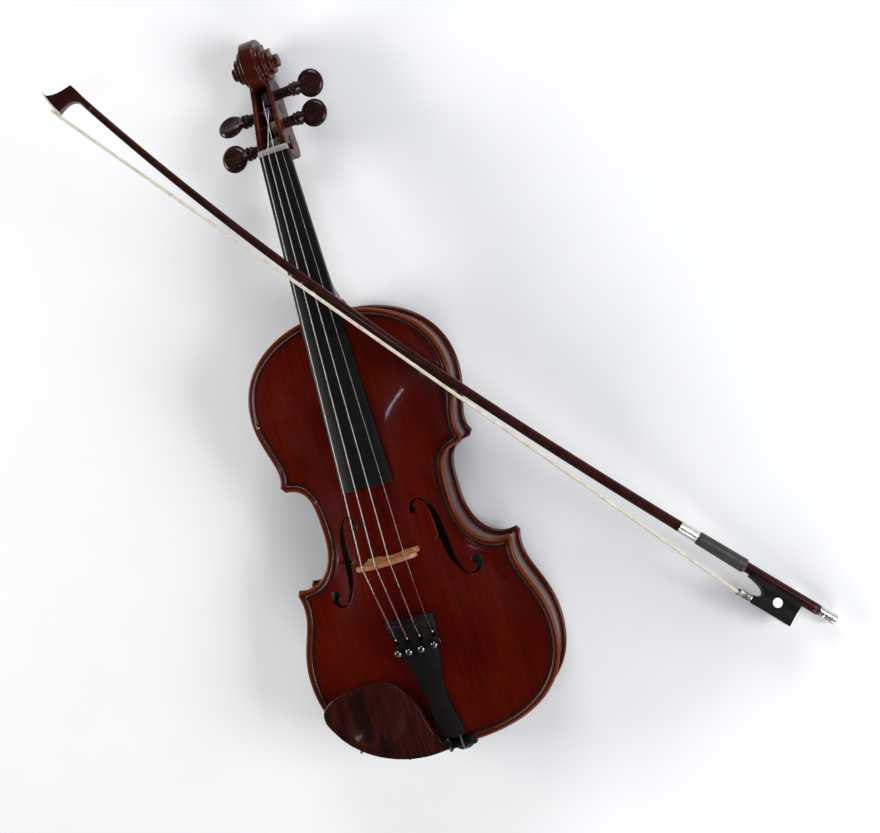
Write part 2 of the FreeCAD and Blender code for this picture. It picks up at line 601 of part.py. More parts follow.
def make_chin_rest():
    """Dished hardwood plate over the bass side of the tail end, stepping over the saddle."""
    plate = chin_outline(53.5).extrude(vec(0, 0, 14))
    crown = Part.makeSphere(260.0, vec(-52, -126, 66.5 - 260.0))
    dish = Part.makeSphere(78.0, vec(-55, -116, 60.2 + 78.0))
    under = box(-130, 10, -112, -80, 40, 57.2)
    over_saddle = box(-19.5, 6, -170, -143, 40, 59.4)
    over_top = beyond(TOP_EDGE_Z + 1.4, TOP_PEAK_Z + 1.4, -1)
    rest = plate.common(crown).cut([dish, under, over_saddle, over_top])
    return rest.cut(box(-9.5, 6, -154.5, -120, 50, 63.2).common(
        inset_face(tail_outline(), -1.2).extrude(vec(0, 0, 60))))


def chin_foot_area(inset=0.0):
    """Strip along the body edge where the clamp and its cork bear."""
    return box(-84 + inset, -34 - inset, -170, -118, 0, 80)


BARREL_POSITIONS = ((-40.0, -161.2), (-77.6, -147.2))   # x, y of the two clamp barrels
BARREL_RADIUS = 2.6


def make_chin_clamp():
    """Cork pads, upper and lower metal hooks, and the two threaded barrels between them."""
    edge = outline_prism(1.0, 0, 80).cut(outline_prism(11.0, -1, 81)).common(chin_foot_area())
    above = beyond(TOP_EDGE_Z, TOP_PEAK_Z, 1)
    top_cork = edge.common(box(-120, 0, -170, -100, 49, 53.5)).common(above)
    below = beyond(BACK_EDGE_Z, 0.0, -1)
    low_cork = edge.common(box(-120, 0, -170, -100, 7.6, 12)).common(below)
    corks = Part.Compound(top_cork.Solids + low_cork.Solids)
    plate = outline_prism(-7.0, 0, 80).cut(outline_prism(9.0, -1, 81)).common(chin_foot_area(1.5))
    foot = plate.common(box(-120, 0, -170, -100, 5.8, 7.6))
    pieces, barrels = [foot], []
    for x, y in BARREL_POSITIONS:
        pieces.append(rod((x, y, 7.6), (x, y, 16.5), 1.5))
        pieces.append(rod((x, y, 43.5), (x, y, 55.5), 1.5))
        pieces.append(rod((x, y, 5.8), (x, y, 7.6), 3.4))
        tube = rod((x, y, 13.0), (x, y, 49.0), BARREL_RADIUS).cut(
            rod((x, y, 12.0), (x, y, 50.0), 1.55))
        cross = rod((x - 5, y, 31.0), (x + 5, y, 31.0), 0.9)
        barrels.append(tube.cut(cross))
    lower = fuse([pieces[0], pieces[1], pieces[3], pieces[4], pieces[6]])
    return corks, Part.Compound([lower, pieces[2], pieces[5]]), barrels


# --- pegs, strings and tuners ------------------------------------------------------------------------
def peg_radius(along):
    """Radius of the tapered peg shaft; along runs towards the head from the pegbox middle."""
    return 3.75 + PEG_TAPER * along


def make_peg(i):
    (y, z), side = PEG_POSITIONS[i], PEG_SIDES[i]
    reach = PEG_HEAD_REACH[i]
    head_start = reach - 21.0
    tip = PEG_TIP_REACH[i]
    outline = [(-tip, 0), (-tip, peg_radius(-tip) - 0.3), (0.3 - tip, peg_radius(-tip)), (head_start - 6.4, peg_radius(14)),
               (head_start - 6.0, 5.0), (head_start - 4.6, 5.4), (head_start - 3.6, 4.2),
               (head_start - 2.6, 5.6), (head_start - 1.2, 5.6), (head_start + 2.0, 3.6),
               (head_start + 2.0, 0)]
    shaft = turned(outline, (0, 0, 0), (1, 0, 0))
    head = Part.makeSphere(1.0)
    scale = FreeCAD.Matrix()
    scale.scale(10.6, 11.2, 4.6)
    head = head.transformGeometry(scale)
    head.translate(vec(head_start + 10.6, 0, 0))
    dishes = [Part.makeSphere(30.0, vec(head_start + 11.5, 0, s * 32.4)) for s in (-1, 1)]
    peg = fuse([shaft, head.cut(dishes)])
    peg.rotate(vec(0, 0, 0), vec(1, 0, 0), PEG_HEAD_TWIST[i])
    if side < 0:
        peg.rotate(vec(0, 0, 0), vec(0, 0, 1), 180)
    peg.translate(vec(0, y, z))
    return peg


def winding_span(i):
    """Where a string is wound on its peg, as x limits inside the pegbox."""
    return ((-4.6, 2.6), (-3.4, 3.0), (-2.2, 3.8), (-1.0, 5.6))[i]


def make_winding(i):
    (y, z), side = PEG_POSITIONS[i], PEG_SIDES[i]
    x0, x1 = winding_span(i)
    radius = STRING_RADII[i] + 0.15
    core = peg_radius(side * (x0 + x1) / 2) + 0.1
    outer = core + 2 * radius
    tube = rod((x0, y, z), (x1, y, z), outer)
    turns = max(3, int((x1 - x0) / (2 * radius)))
    step = (x1 - x0) / turns
    grooves = []
    for k in range(1, turns):
        x = x0 + k * step
        grooves.append(turned([(-radius * 0.5, outer + 1), (radius * 0.5, outer + 1), (0, outer - radius)],
                              (x, y, z), (1, 0, 0)))
    shaft = rod((-side * 20, y, z), (side * 20, y, z), peg_radius(-20), peg_radius(20))
    return tube.cut(grooves + [shaft]), outer


def string_points(i):
    """Bends of a string from its peg over the nut and bridge to its tuner."""
    (y, z) = PEG_POSITIONS[i]
    r = STRING_RADII[i]
    x_nut, x_bridge = (i - 1.5) * NUT_SPACING, (i - 1.5) * BRIDGE_SPACING
    x0, x1 = winding_span(i)
    x_peg = x1 - 1.0 if i < 2 else x0 + 1.0
    outer = peg_radius(0) + 0.4 + 2 * (r + 0.15)
    nut = (x_nut, NUT_Y + 1.5, string_height_at_nut(x_nut) + 0.1)
    dy, dz = y - nut[1], z - nut[2]
    reach = hypot(dy, dz)
    off = outer + r + 0.35
    tangent = atan2(dz, dy) - atan2(off, sqrt(reach ** 2 - off ** 2)) * -1.0
    run = sqrt(reach ** 2 - off ** 2)
    peg = (x_peg, nut[1] + run * cos(tangent), nut[2] + run * sin(tangent))
    bridge = (x_bridge, 0.0, string_height_at_bridge(x_bridge) + 0.1)
    x_tail = tuner_x(i)
    fret_y = TAIL_TOP_Y - 5.5
    drop = 34.9 - sqrt(34.9 ** 2 - x_tail ** 2)
    fret = (x_tail, fret_y, tail_crest(fret_y) + 0.9 - drop + r)
    ball = (x_tail, TUNER_PIVOT_Y + 0.4, tuner_level(i) - 0.6)
    return [peg, nut, bridge, fret, ball]


def make_string(i):
    points = string_points(i)
    return bead_chain(points, STRING_RADII[i]).fuse(Part.makeSphere(1.1, vec(*points[-1])))




def tuner_level(i):
    """Height of the tailpiece crest over one tuner, at the pivot."""
    x = tuner_x(i)
    return tail_crest(TUNER_PIVOT_Y) - (34.0 - sqrt(34.0 ** 2 - x ** 2))


def make_tuner_lever(i):
    """Bent lever with the string's ball hooked in front and the screw pressing behind."""
    x, level = tuner_x(i), tuner_level(i)
    pivot = level - 6.6
    profile = [(-57.2, level + 0.6), (-59.0, level + 0.9), (-60.6, level - 1.0), (-61.4, pivot + 0.4),
               (-64.6, pivot + 1.2), (-66.5, pivot + 0.3), (-70.6, pivot - 2.3), (-75.4, pivot - 2.3),
               (-75.4, pivot - 3.8), (-70.0, pivot - 3.8), (-64.0, pivot - 1.8), (-60.6, pivot - 1.6),
               (-58.6, pivot)]
    plate = polygon_face([(x - 1.35, y, z) for y, z in profile]).extrude(vec(2.7, 0, 0))
    fork = box(x - 0.8, x + 0.8, -62.0, -50.0, level - 2.6, level + 5)
    axle = rod((x - 1.65, TUNER_PIVOT_Y, pivot), (x + 1.65, TUNER_PIVOT_Y, pivot), 0.8)
    return plate.cut(fork).fuse(axle).removeSplitter()


def make_tuner_screw(i):
    """Thumb screw standing in the tailpiece behind its slot."""
    x = tuner_x(i)
    y = SCREW_Y
    crest = tail_crest(y) - (34.0 - sqrt(34.0 ** 2 - x ** 2))
    outline = [(-1.4, 0), (-1.4, 1.0), (-0.9, 1.5), (7.6, 1.5), (7.6, 1.9), (9.0, 1.9), (9.4, 2.9),
               (11.6, 3.1), (13.2, 2.6), (14.2, 1.4), (14.4, 0)]
    return turned(outline, (x, y, crest - 5.2), (0, 0, 1))


# --- bow -------------------------------------------------------------------------------------------
def bow_length():
    return hypot(*[t - b for t, b in zip(BOW_TIP, BOW_BUTTON)])


def place_bow(shape):
    """Move a shape from bow axes (x along the stick, y to the hair, z to its upper side)."""
    along = (vec(*BOW_TIP) - vec(*BOW_BUTTON)).normalize()
    up = (vec(0, 0, 1) - along * along.z).normalize()
    hair = up.cross(along)
    c, s = cos(radians(BOW_ROLL)), sin(radians(BOW_ROLL))
    hair, up = hair * c + up * s, up * c - hair * s
    matrix = FreeCAD.Matrix(along.x, hair.x, up.x, BOW_BUTTON[0], along.y, hair.y, up.y, BOW_BUTTON[1],
                            along.z, hair.z, up.z, BOW_BUTTON[2], 0, 0, 0, 1)
    return shape.transformed(matrix) if hasattr(shape, "transformed") else shape.transformGeometry(matrix)


def camber(s):
    """Bend of the stick towards the hair."""
    t = s / bow_length()
    return 4 * BOW_CAMBER * t * (1 - t) * (0.7 + 0.6 * t)


def camber_slope(s):
    return camber(s + 0.5) - camber(s - 0.5)


def stick_radius(s):
    t = max(0.0, s / bow_length() - 0.15) / 0.85
    return STICK_BUTT_RADIUS + (STICK_TIP_RADIUS - STICK_BUTT_RADIUS) * t ** 1.25


def stick_circle(s, radius):
    slope = camber_slope(s)
    return Part.Wire(Part.makeCircle(radius, vec(s, camber(s), 0), vec(1, slope, 0)))


def sleeve(s0, s1, extra0, extra1, inner=0.0):
    """Round sleeve that follows the cambered stick."""
    stations = [s0 + (s1 - s0) * k / 3 for k in range(4)]
    outer = Part.makeLoft([stick_circle(s, stick_radius(s) + extra0 + (extra1 - extra0) * k / 3)
                           for k, s in enumerate(stations)], True, False)
    hole = Part.makeLoft([stick_circle(s, stick_radius(s) + inner)
                          for s in [s0 - 1] + stations[1:-1] + [s1 + 1]], True, False)
    return outer.cut(hole)


def hair_y(s):
    """Hair height below the chord at a place along the bow."""
    s0, s1 = FROG_BACK + FROG_LENGTH, bow_length()
    at_frog = frog_tilt(s0) + HAIR_IN_FROG
    return at_frog + (HAIR_AT_HEAD - at_frog) * (s - s0) / (s1 - s0)


def screw_bore():
    """Hole for the screw, straight from the butt along the first part of the stick."""
    return rod((0, 0, 0), (48, camber(48), 0), 1.5 + 0.05)


def make_stick():
    """Cambered, tapered stick with its head, bored at the butt for the screw."""
    length = bow_length()
    count = 12
    stations = [15.8 + (length - 8 - 15.8) * k / count for k in range(count + 1)]
    shaft = Part.makeLoft([stick_circle(s, stick_radius(s)) for s in stations], True, False)
    head = face_of([bezier((length - 24, 1.2, 0), (length - 16, -0.2, 0), (length - 8, -2.4, 0),
                           (length - 1.0, -2.8, 0)),
                    bezier((length - 1.0, -2.8, 0), (length + 1.5, 4, 0), (length + 3.4, 11.4, 0),
                           (length + 9.6, 14.4, 0)),
                    Part.makeLine(vec(length + 9.6, 14.4, 0), vec(length + 13.2, 13.6, 0)),
                    bezier((length + 13.2, 13.6, 0), (length + 6.0, 16.6, 0), (length, 18.2, 0),
                           (length - 7, 19.2, 0)),
                    bezier((length - 7, 19.2, 0), (length - 7.6, 8, 0), (length - 9.4, 1.4, 0),
                           (length - 24, 5.2, 0)),
                    Part.makeLine(vec(length - 24, 5.2, 0), vec(length - 24, 1.2, 0))])
    head.translate(vec(0, 0, -5.4))
    head = head.extrude(vec(0, 0, 10.8))
    cheeks = []
    for side in (-1, 1):
        wedge = polygon_face([(length - 40, -8, side * 2.7), (length - 40, 30, side * 5.4),
                              (length - 40, 30, side * 12), (length - 40, -8, side * 12)])
        cheeks.append(wedge.extrude(vec(60, 0, 0)))
        nose = polygon_face([(length - 2, -20, side * 6.0), (length + 15, -20, side * 0.9),
                             (length + 15, -20, side * 12), (length - 2, -20, side * 12)])
        cheeks.append(nose.extrude(vec(0, 60, 0)))
    mortise = box(length - 3.5, length + 3.0, 11.5, 30, -3.2, 3.2)
    slot = box(34.0, 66.0, camber(38) - 1.6, camber(50) + 6, -2.0, 2.0)
    return fuse([shaft, head.cut(cheeks)]).cut([mortise, screw_bore(), slot])


def make_head_plate():
    length = bow_length()
    plate = face_of([bezier((length - 7, 19.25, 0), (length, 18.25, 0), (length + 6.0, 16.65, 0),
                            (length + 13.2, 13.65, 0)),
                     Part.makeLine(vec(length + 13.2, 13.65, 0), vec(length + 14.6, 13.8, 0)),
                     bezier((length + 14.6, 13.8, 0), (length + 6, 18.1, 0), (length, 19.6, 0),
                            (length - 7, 20.6, 0)),
                     Part.makeLine(vec(length - 7, 20.6, 0), vec(length - 7, 19.25, 0))])
    plate.translate(vec(0, 0, -5.2))
    plate = plate.extrude(vec(0, 0, 10.4))
    nose = [polygon_face([(length - 2, -20, s * 6.0), (length + 15, -20, s * 0.9),
                          (length + 15, -20, s * 12), (length - 2, -20, s * 12)]).extrude(vec(0, 60, 0))
            for s in (-1, 1)]
    return plate.cut(nose).cut(box(length - 3.6, length + 3.1, 11, 30, -3.3, 3.3))


def frog_tilt(s):
    """Height of the stick's centre line where the frog rides on it."""
    return camber(50) + camber_slope(50) * (s - 50)


def frog_frame(shape):
    """Turn a shape drawn along the chord so that it lies along the stick at the frog."""
    shape.rotate(vec(50, camber(50), 0), vec(0, 0, 1), degrees(atan2(camber_slope(50), 1)))
    return shape


def make_frog():
    """Ebony frog: curved throat at the front, square heel at the back, riding on the stick."""
    s0, s1 = FROG_BACK, FROG_BACK + FROG_LENGTH
    y0 = camber(50)
    top, bottom = y0 + 2.2, y0 + 22.4
    body = face_of([Part.makeLine(vec(s0, top, 0), vec(s0, bottom, 0)),
                    Part.makeLine(vec(s0, bottom, 0), vec(s1 - 0.5, bottom, 0)),
                    Part.makeLine(vec(s1 - 0.5, bottom, 0), vec(s1 - 0.5, bottom - 5.2, 0)),
                    Part.makeLine(vec(s1 - 0.5, bottom - 5.2, 0), vec(s1 - 10, bottom - 6.4, 0)),
                    bezier((s1 - 10, bottom - 6.4, 0), (s1 - 20, bottom - 7.6, 0),
                           (s1 - 20, top + 5.4, 0), (s1 - 1, top + 3.4, 0)),
                    Part.makeLine(vec(s1 - 1, top + 3.4, 0), vec(s1 - 1, top, 0)),
                    Part.makeLine(vec(s1 - 1, top, 0), vec(s0, top, 0))])
    body.translate(vec(0, 0, -FROG_HALF_WIDTH))
    body = body.extrude(vec(0, 0, 2 * FROG_HALF_WIDTH))
    waist = [rod((s0 - 5, y0 + 12.2, side * (FROG_HALF_WIDTH + 13.6)),
                 (s1 + 5, y0 + 12.2, side * (FROG_HALF_WIDTH + 13.6)), 14.6) for side in (-1, 1)]
    channel = rod((s0 - 30, y0, 0), (s1 + 30, y0, 0), STICK_BUTT_RADIUS + 0.35)
    hair_slot = box(s1 - 26, s1 + 5, bottom - 3.2, bottom - 1.6, -4.8, 4.8)
    slide_seat = box(s0 - 1, s1 + 1, bottom - 0.9, bottom + 1, -3.4, 3.4)
    eye_seats = [rod((s0 + 17, y0 + 11.6, side * 10), (s0 + 17, y0 + 11.6, side * 4.2), 3.85)
                 for side in (-1, 1)]
    ferrule_step = box(s1 - 9.5, s1 + 5, bottom - 12, bottom + 2, -20, 20).cut(
        box(s1 - 9.6, s1 + 6, bottom - 5.2, bottom - 0.6, -5.2, 5.2))
    upper = box(s1 - 9.6, s1 + 6, top - 5, top + 6, -20, 20)
    frog = body.cut(waist + [channel, hair_slot, slide_seat, ferrule_step.cut(upper)] + eye_seats)
    return frog, s0, s1, top, bottom, y0


def make_frog_trim(s0, s1, bottom, y0):
    """Ferrule, pearl slide, heel plate and the pearl eyes."""
    shell = box(s1 - 9.4, s1 + 0.6, bottom - 6.0, bottom + 0.3, -6.3, 6.3)
    shell = shell.makeFillet(2.4, [e for e in shell.Edges if abs(e.BoundBox.XLength - 10.0) < 0.01])
    ferrule = shell.cut(box(s1 - 10, s1 + 2, bottom - 5.15, bottom - 0.55, -5.25, 5.25))
    slide = box(s0 + 7, s1 - 9.6, bottom - 0.88, bottom - 0.05, -3.35, 3.35)
    heel = box(s0 - 0.7, s0 - 0.02, bottom - 12, bottom + 0.05, -4.6, 4.6).fuse(
        box(s0 - 0.7, s0 + 6.9, bottom - 0.88, bottom + 0.05, -3.35, 3.35)).removeSplitter()
    eyes = Part.Compound([rod((s0 + 17, y0 + 11.6, side * 4.25), (s0 + 17, y0 + 11.6, side * 5.3), 3.8)
                          for side in (-1, 1)])
    return ferrule, slide, heel, eyes


def make_hair():
    """Flat ribbon of hair from inside the frog to the head."""
    s0, s1 = FROG_BACK + FROG_LENGTH - 20.0, bow_length() - 0.5
    stations = []
    for s, half in ((s0, 4.4), (FROG_BACK + FROG_LENGTH + 1, 4.4), (s1, 3.0)):
        y = hair_y(max(s, FROG_BACK + FROG_LENGTH))
        if s < FROG_BACK + FROG_LENGTH:
            y += camber_slope(50) * (s - FROG_BACK - FROG_LENGTH)
        corners = [(s, y - 0.35, -half), (s, y + 0.35, -half), (s, y + 0.35, half), (s, y - 0.35, half)]
        stations.append(Part.makePolygon([vec(*c) for c in corners + corners[:1]]))
    return Part.makeLoft(stations, True, True)


def make_screw_and_eyelet():
    """End screw with its three-part button, and the brass eyelet it drives inside the frog."""
    outline = [(0, 0), (0, 3.0), (0.8, 4.2), (4.0, 4.4), (4.4, 4.0), (10.8, 4.0), (11.2, 4.4),
               (14.8, 4.4), (15.4, 4.1), (15.4, 1.5), (46.0, 1.5), (47.0, 0.9), (47.0, 0)]
    screw = turned(outline, (0, 0, 0), (1, 0, 0))
    screw.rotate(vec(0, 0, 0), vec(0, 0, 1), degrees(atan2(camber(48), 48)))
    y = camber(41)
    block = box(39.5, 43.5, y - 1.0, y + 3.4, -1.7, 1.7)
    stem = rod((41.5, y + 3.3, 0), (41.5, y + 8.6, 0), 1.2)
    eyelet = fuse([block, stem]).cut(screw_bore())
    return screw, eyelet


def make_bow():
    frog, s0, s1, _, bottom, y0 = make_frog()
    ferrule, slide, heel, eyes = make_frog_trim(s0, s1, bottom, y0)
    screw, eyelet = make_screw_and_eyelet()
    hole = rod((41.5, camber(41), 0), (41.5, camber(41) + 9.6, 0), 1.2)
    frog_nodes = {"bow_frog": frog, "bow_ferrule": ferrule, "bow_pearl_slide": slide,
                  "bow_heel_plate": heel, "bow_pearl_eyes": eyes}
    nodes = {name: frog_frame(shape) for name, shape in frog_nodes.items()}
    nodes["bow_frog"] = nodes["bow_frog"].cut([hole, eyelet, nodes["bow_ferrule"]])
    nodes["bow_eyelet"] = eyelet
    nodes["bow_screw"] = screw
    nodes["bow_stick"] = make_stick()
    nodes["bow_head_plate"] = make_head_plate()
    nodes["bow_grip"] = sleeve(81.0, 124.0, 1.5, 1.0)
    nodes["bow_winding"] = sleeve(124.2, 141.0, 0.5, 0.5)
    nodes["bow_hair"] = make_hair()
    return {name: place_bow(shape) for name, shape in nodes.items()}


# --- assembly --------------------------------------------------------------------------------------
def build():
    parts = {}
    strings = [make_string(i) for i in range(4)]
    neck = make_neck()
    nut, nut_seat = make_nut(strings)
    neck = neck.cut([nut_seat.common(outline_free_box()), nut])
    saddle, saddle_seat = make_saddle()
    parts["nut"] = nut
    for side in (-1, 1):
        saddle = saddle.cut(bead_chain(tail_gut_path(side), 1.2))
    parts["saddle"] = saddle
    parts["top_plate"], parts["back_plate"], parts["purfling"] = make_plates(neck, saddle_seat)
    clearance = bead_chain(string_points(0)[:2], STRING_RADII[0] + 0.3)
    parts["neck"] = neck.cut([parts["back_plate"], clearance])
    parts.update(make_ribs(neck))
    blocks = make_blocks_and_linings(neck)
    parts["upper_block"], parts["lower_block"], parts["corner_blocks"], parts["linings"] = blocks
    parts["bass_bar"], parts["sound_post"] = make_bar_and_post()
    parts["fingerboard"] = make_fingerboard()
    parts["bridge"] = make_bridge(strings)
    parts["tailpiece"] = make_tailpiece(strings)
    parts["tail_gut"] = make_tail_gut()
    parts["end_button"] = make_end_button()
    parts["chin_rest"] = make_chin_rest()
    parts["chin_rest_cork"], parts["chin_rest_clamp"], barrels = make_chin_clamp()
    parts["chin_rest"] = parts["chin_rest"].cut(parts["chin_rest_clamp"])
    parts["chin_rest_barrel_right"], parts["chin_rest_barrel_left"] = barrels
    for i, name in enumerate(STRING_NAMES):
        parts["peg_" + name] = make_peg(i)
        parts["winding_" + name] = make_winding(i)[0]
        parts["string_" + name] = strings[i]
        parts["tuner_lever_" + name] = make_tuner_lever(i)
        parts["tuner_screw_" + name] = make_tuner_screw(i)
    for side in ("treble", "bass"):
        parts["rib_lower_" + side] = parts["rib_lower_" + side].cut(pin_hole())
    parts.update(make_bow())
    return parts


def outline_free_box():
    return box(-30, 30, NUT_Y, NUT_Y + NUT_LENGTH, 30, 60)


def main():
    os.makedirs("parts", exist_ok=True)
    for name, shape in build().items():
        shape.exportStep("parts/" + name + ".step")


main()
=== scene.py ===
"""Looks of a full-size violin with its bow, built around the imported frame. Metres throughout."""
from math import atan2, cos, exp, hypot, pi, radians, sin, sqrt

import bmesh
import bpy
import numpy as np
from mathutils import Matrix, Vector
from mathutils.geometry import delaunay_2d_cdt


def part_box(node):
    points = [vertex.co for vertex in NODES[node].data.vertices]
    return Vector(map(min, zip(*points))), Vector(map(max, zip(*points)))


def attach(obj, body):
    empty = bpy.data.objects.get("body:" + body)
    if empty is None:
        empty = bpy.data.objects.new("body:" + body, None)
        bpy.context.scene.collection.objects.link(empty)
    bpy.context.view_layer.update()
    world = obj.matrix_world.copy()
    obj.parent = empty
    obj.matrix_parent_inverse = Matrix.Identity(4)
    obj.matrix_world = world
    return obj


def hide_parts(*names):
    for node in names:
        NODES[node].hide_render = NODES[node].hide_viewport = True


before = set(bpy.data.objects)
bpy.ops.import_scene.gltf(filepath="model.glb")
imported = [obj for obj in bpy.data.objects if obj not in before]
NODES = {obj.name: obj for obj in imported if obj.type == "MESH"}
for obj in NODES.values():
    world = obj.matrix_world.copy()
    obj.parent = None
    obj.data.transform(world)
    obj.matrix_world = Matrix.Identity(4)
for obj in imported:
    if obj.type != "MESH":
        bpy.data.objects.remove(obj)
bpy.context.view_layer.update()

MM = 0.001


# --- small mesh tools -----------------------------------------------------------------------------
def new_object(name, verts, faces, material=None, smooth=True):
    """Mesh object from points in mm."""
    mesh = bpy.data.meshes.new(name)
    mesh.from_pydata([tuple(c * MM for c in v) for v in verts], [], faces)
    mesh.validate()
    mesh.update()
    obj = bpy.data.objects.new(name, mesh)
    bpy.context.scene.collection.objects.link(obj)
    if smooth:
        mesh.polygons.foreach_set("use_smooth", [True] * len(mesh.polygons))
    if material is not None:
        mesh.materials.append(material)
    return obj


def own(obj, body, slot, *nodes):
    """Hang a piece on its body and hide the CAD nodes it stands for; the slot argument is not used."""
    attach(obj, body)
    if nodes:
        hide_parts(*nodes)
    return obj


def outward(obj):
    """Turn all faces of a closed mesh outwards."""
    bm = bmesh.new()
    bm.from_mesh(obj.data)
    bmesh.ops.recalc_face_normals(bm, faces=bm.faces)
    bm.to_mesh(obj.data)
    bm.free()
    return obj


def loft(name, rings, material, caps=True, closed=True):
    """Skin through rings of equal point counts, closed at both ends."""
    count = len(rings[0])
    verts = [p for ring in rings for p in ring]
    faces = []
    for i in range(len(rings) - 1):
        for j in range(count if closed else count - 1):
            k = (j + 1) % count
            faces.append((i * count + j, i * count + k, (i + 1) * count + k, (i + 1) * count + j))
    if caps:
        faces.append(tuple(range(count - 1, -1, -1)))
        faces.append(tuple((len(rings) - 1) * count + j for j in range(count)))
    return outward(new_object(name, verts, faces, material))


def frames_along(path):
    """Tangent and two normals at each point of a path, carried along without twist."""
    pts = [Vector(p) for p in path]
    out, normal = [], None
    for i, p in enumerate(pts):
        tangent = (pts[min(i + 1, len(pts) - 1)] - pts[max(i - 1, 0)]).normalized()
        if normal is None:
            normal = tangent.cross(Vector((0.3, 0.2, 1))).normalized()
        normal = (normal - tangent * normal.dot(tangent)).normalized()
        out.append((p, tangent, normal, tangent.cross(normal)))
    return out


def tube_mesh(path, radius, sides=12):
    """Points and faces of a closed round tube; radius is a number or a function of 0..1."""
    verts, faces = [], []
    stations = frames_along(path)
    last = len(stations) - 1
    for i, (p, _, a, b) in enumerate(stations):
        r = radius(i / last) if callable(radius) else radius
        for j in range(sides):
            t = 2 * pi * j / sides
            verts.append(tuple(p + a * (r * cos(t)) + b * (r * sin(t))))
    for i in range(last):
        for j in range(sides):
            k = (j + 1) % sides
            faces.append((i * sides + j, i * sides + k, (i + 1) * sides + k, (i + 1) * sides + j))
    faces.append(tuple(range(sides - 1, -1, -1)))
    faces.append(tuple(last * sides + j for j in range(sides)))
    return verts, faces


def merged(parts):
    verts, faces = [], []
    for v, f in parts:
        base = len(verts)
        verts += list(v)
        faces += [tuple(i + base for i in face) for face in f]
    return verts, faces


def tube(name, path, radius, material, sides=12):
    return outward(new_object(name, *tube_mesh(path, radius, sides), material))


def smooth_path(points, steps=8):
    """Catmull-Rom curve through the points."""
    pts = [Vector(p) for p in points]
    pts = [pts[0] * 2 - pts[1]] + pts + [pts[-1] * 2 - pts[-2]]
    out = []
    for i in range(1, len(pts) - 2):
        a, b, c, d = pts[i - 1:i + 3]
        for k in range(steps):
            t = k / steps
            out.append(0.5 * (2 * b + (c - a) * t + (2 * a - 5 * b + 4 * c - d) * t * t
                              + (3 * b - a - 3 * c + d) * t ** 3))
    return [tuple(p) for p in out] + [tuple(pts[-2])]


def lathe_mesh(outline, start, axis, sides=40, flutes=None):
    """Turned form from (along, radius) pairs; flutes(along, angle) adds to the radius."""
    axis = Vector(axis).normalized()
    a = axis.orthogonal().normalized()
    b = axis.cross(a)
    verts, faces = [], []
    for s, r in outline:
        for j in range(sides):
            t = 2 * pi * j / sides
            rr = max(0.004, r + (flutes(s, t) if flutes else 0.0))
            verts.append(tuple(Vector(start) + axis * s + a * (rr * cos(t)) + b * (rr * sin(t))))
    for i in range(len(outline) - 1):
        for j in range(sides):
            k = (j + 1) % sides
            faces.append((i * sides + j, i * sides + k, (i + 1) * sides + k, (i + 1) * sides + j))
    faces.append(tuple(range(sides - 1, -1, -1)))
    faces.append(tuple((len(outline) - 1) * sides + j for j in range(sides)))
    return verts, faces


def rounded(outline, radius=0.35, steps=3):
    """Round the corners of an open (along, radius) outline."""
    out = [outline[0]]
    for before, here, after in zip(outline, outline[1:], outline[2:]):
        ends = []
        for other in (before, after):
            dx, dy = other[0] - here[0], other[1] - here[1]
            length = hypot(dx, dy)
            cut = min(radius, 0.45 * length)
            ends.append((here[0] + dx / length * cut, here[1] + dy / length * cut) if length else here)
        (ax, ay), (bx, by) = ends
        for k in range(steps + 1):
            t = k / steps
            out.append(((1 - t) ** 2 * ax + 2 * t * (1 - t) * here[0] + t * t * bx,
                        (1 - t) ** 2 * ay + 2 * t * (1 - t) * here[1] + t * t * by))
    return out + [outline[-1]]


def refined(node, body, slot, material, voxel, rounds=4, name=None, keep=None, factor=0.5):
    """The CAD node's form re-skinned evenly, with its edges softened like hand-finished wood."""
    source = NODES[node]
    obj = bpy.data.objects.new(name or node + "_fine", source.data.copy())
    bpy.context.scene.collection.objects.link(obj)
    obj.data.materials.clear()
    bm = bmesh.new()
    bm.from_mesh(obj.data)
    bmesh.ops.remove_doubles(bm, verts=bm.verts, dist=1e-6)
    if keep is not None:
        point, normal = keep
        cut = bmesh.ops.bisect_plane(bm, geom=bm.verts[:] + bm.edges[:] + bm.faces[:], dist=1e-7,
                                     plane_co=point, plane_no=normal, clear_outer=True)
        edges = [e for e in cut["geom_cut"] if isinstance(e, bmesh.types.BMEdge)]
        bmesh.ops.contextual_create(bm, geom=edges)
    bm.to_mesh(obj.data)
    bm.free()
    remesh = obj.modifiers.new("skin", "REMESH")
    remesh.mode = "VOXEL"
    remesh.voxel_size = voxel * MM
    remesh.use_smooth_shade = True
    if rounds:
        ease = obj.modifiers.new("ease", "SMOOTH")
        ease.factor = factor
        ease.iterations = rounds
    bake(obj)
    obj.data.polygons.foreach_set("use_smooth", [True] * len(obj.data.polygons))
    obj.data.materials.append(material)
    return own(obj, body, slot, node)


def bake(obj):
    """Apply every modifier of an object."""
    graph = bpy.context.evaluated_depsgraph_get()
    mesh = bpy.data.meshes.new_from_object(obj.evaluated_get(graph))
    old = obj.data
    obj.modifiers.clear()
    obj.data = mesh
    bpy.data.meshes.remove(old)
    return obj


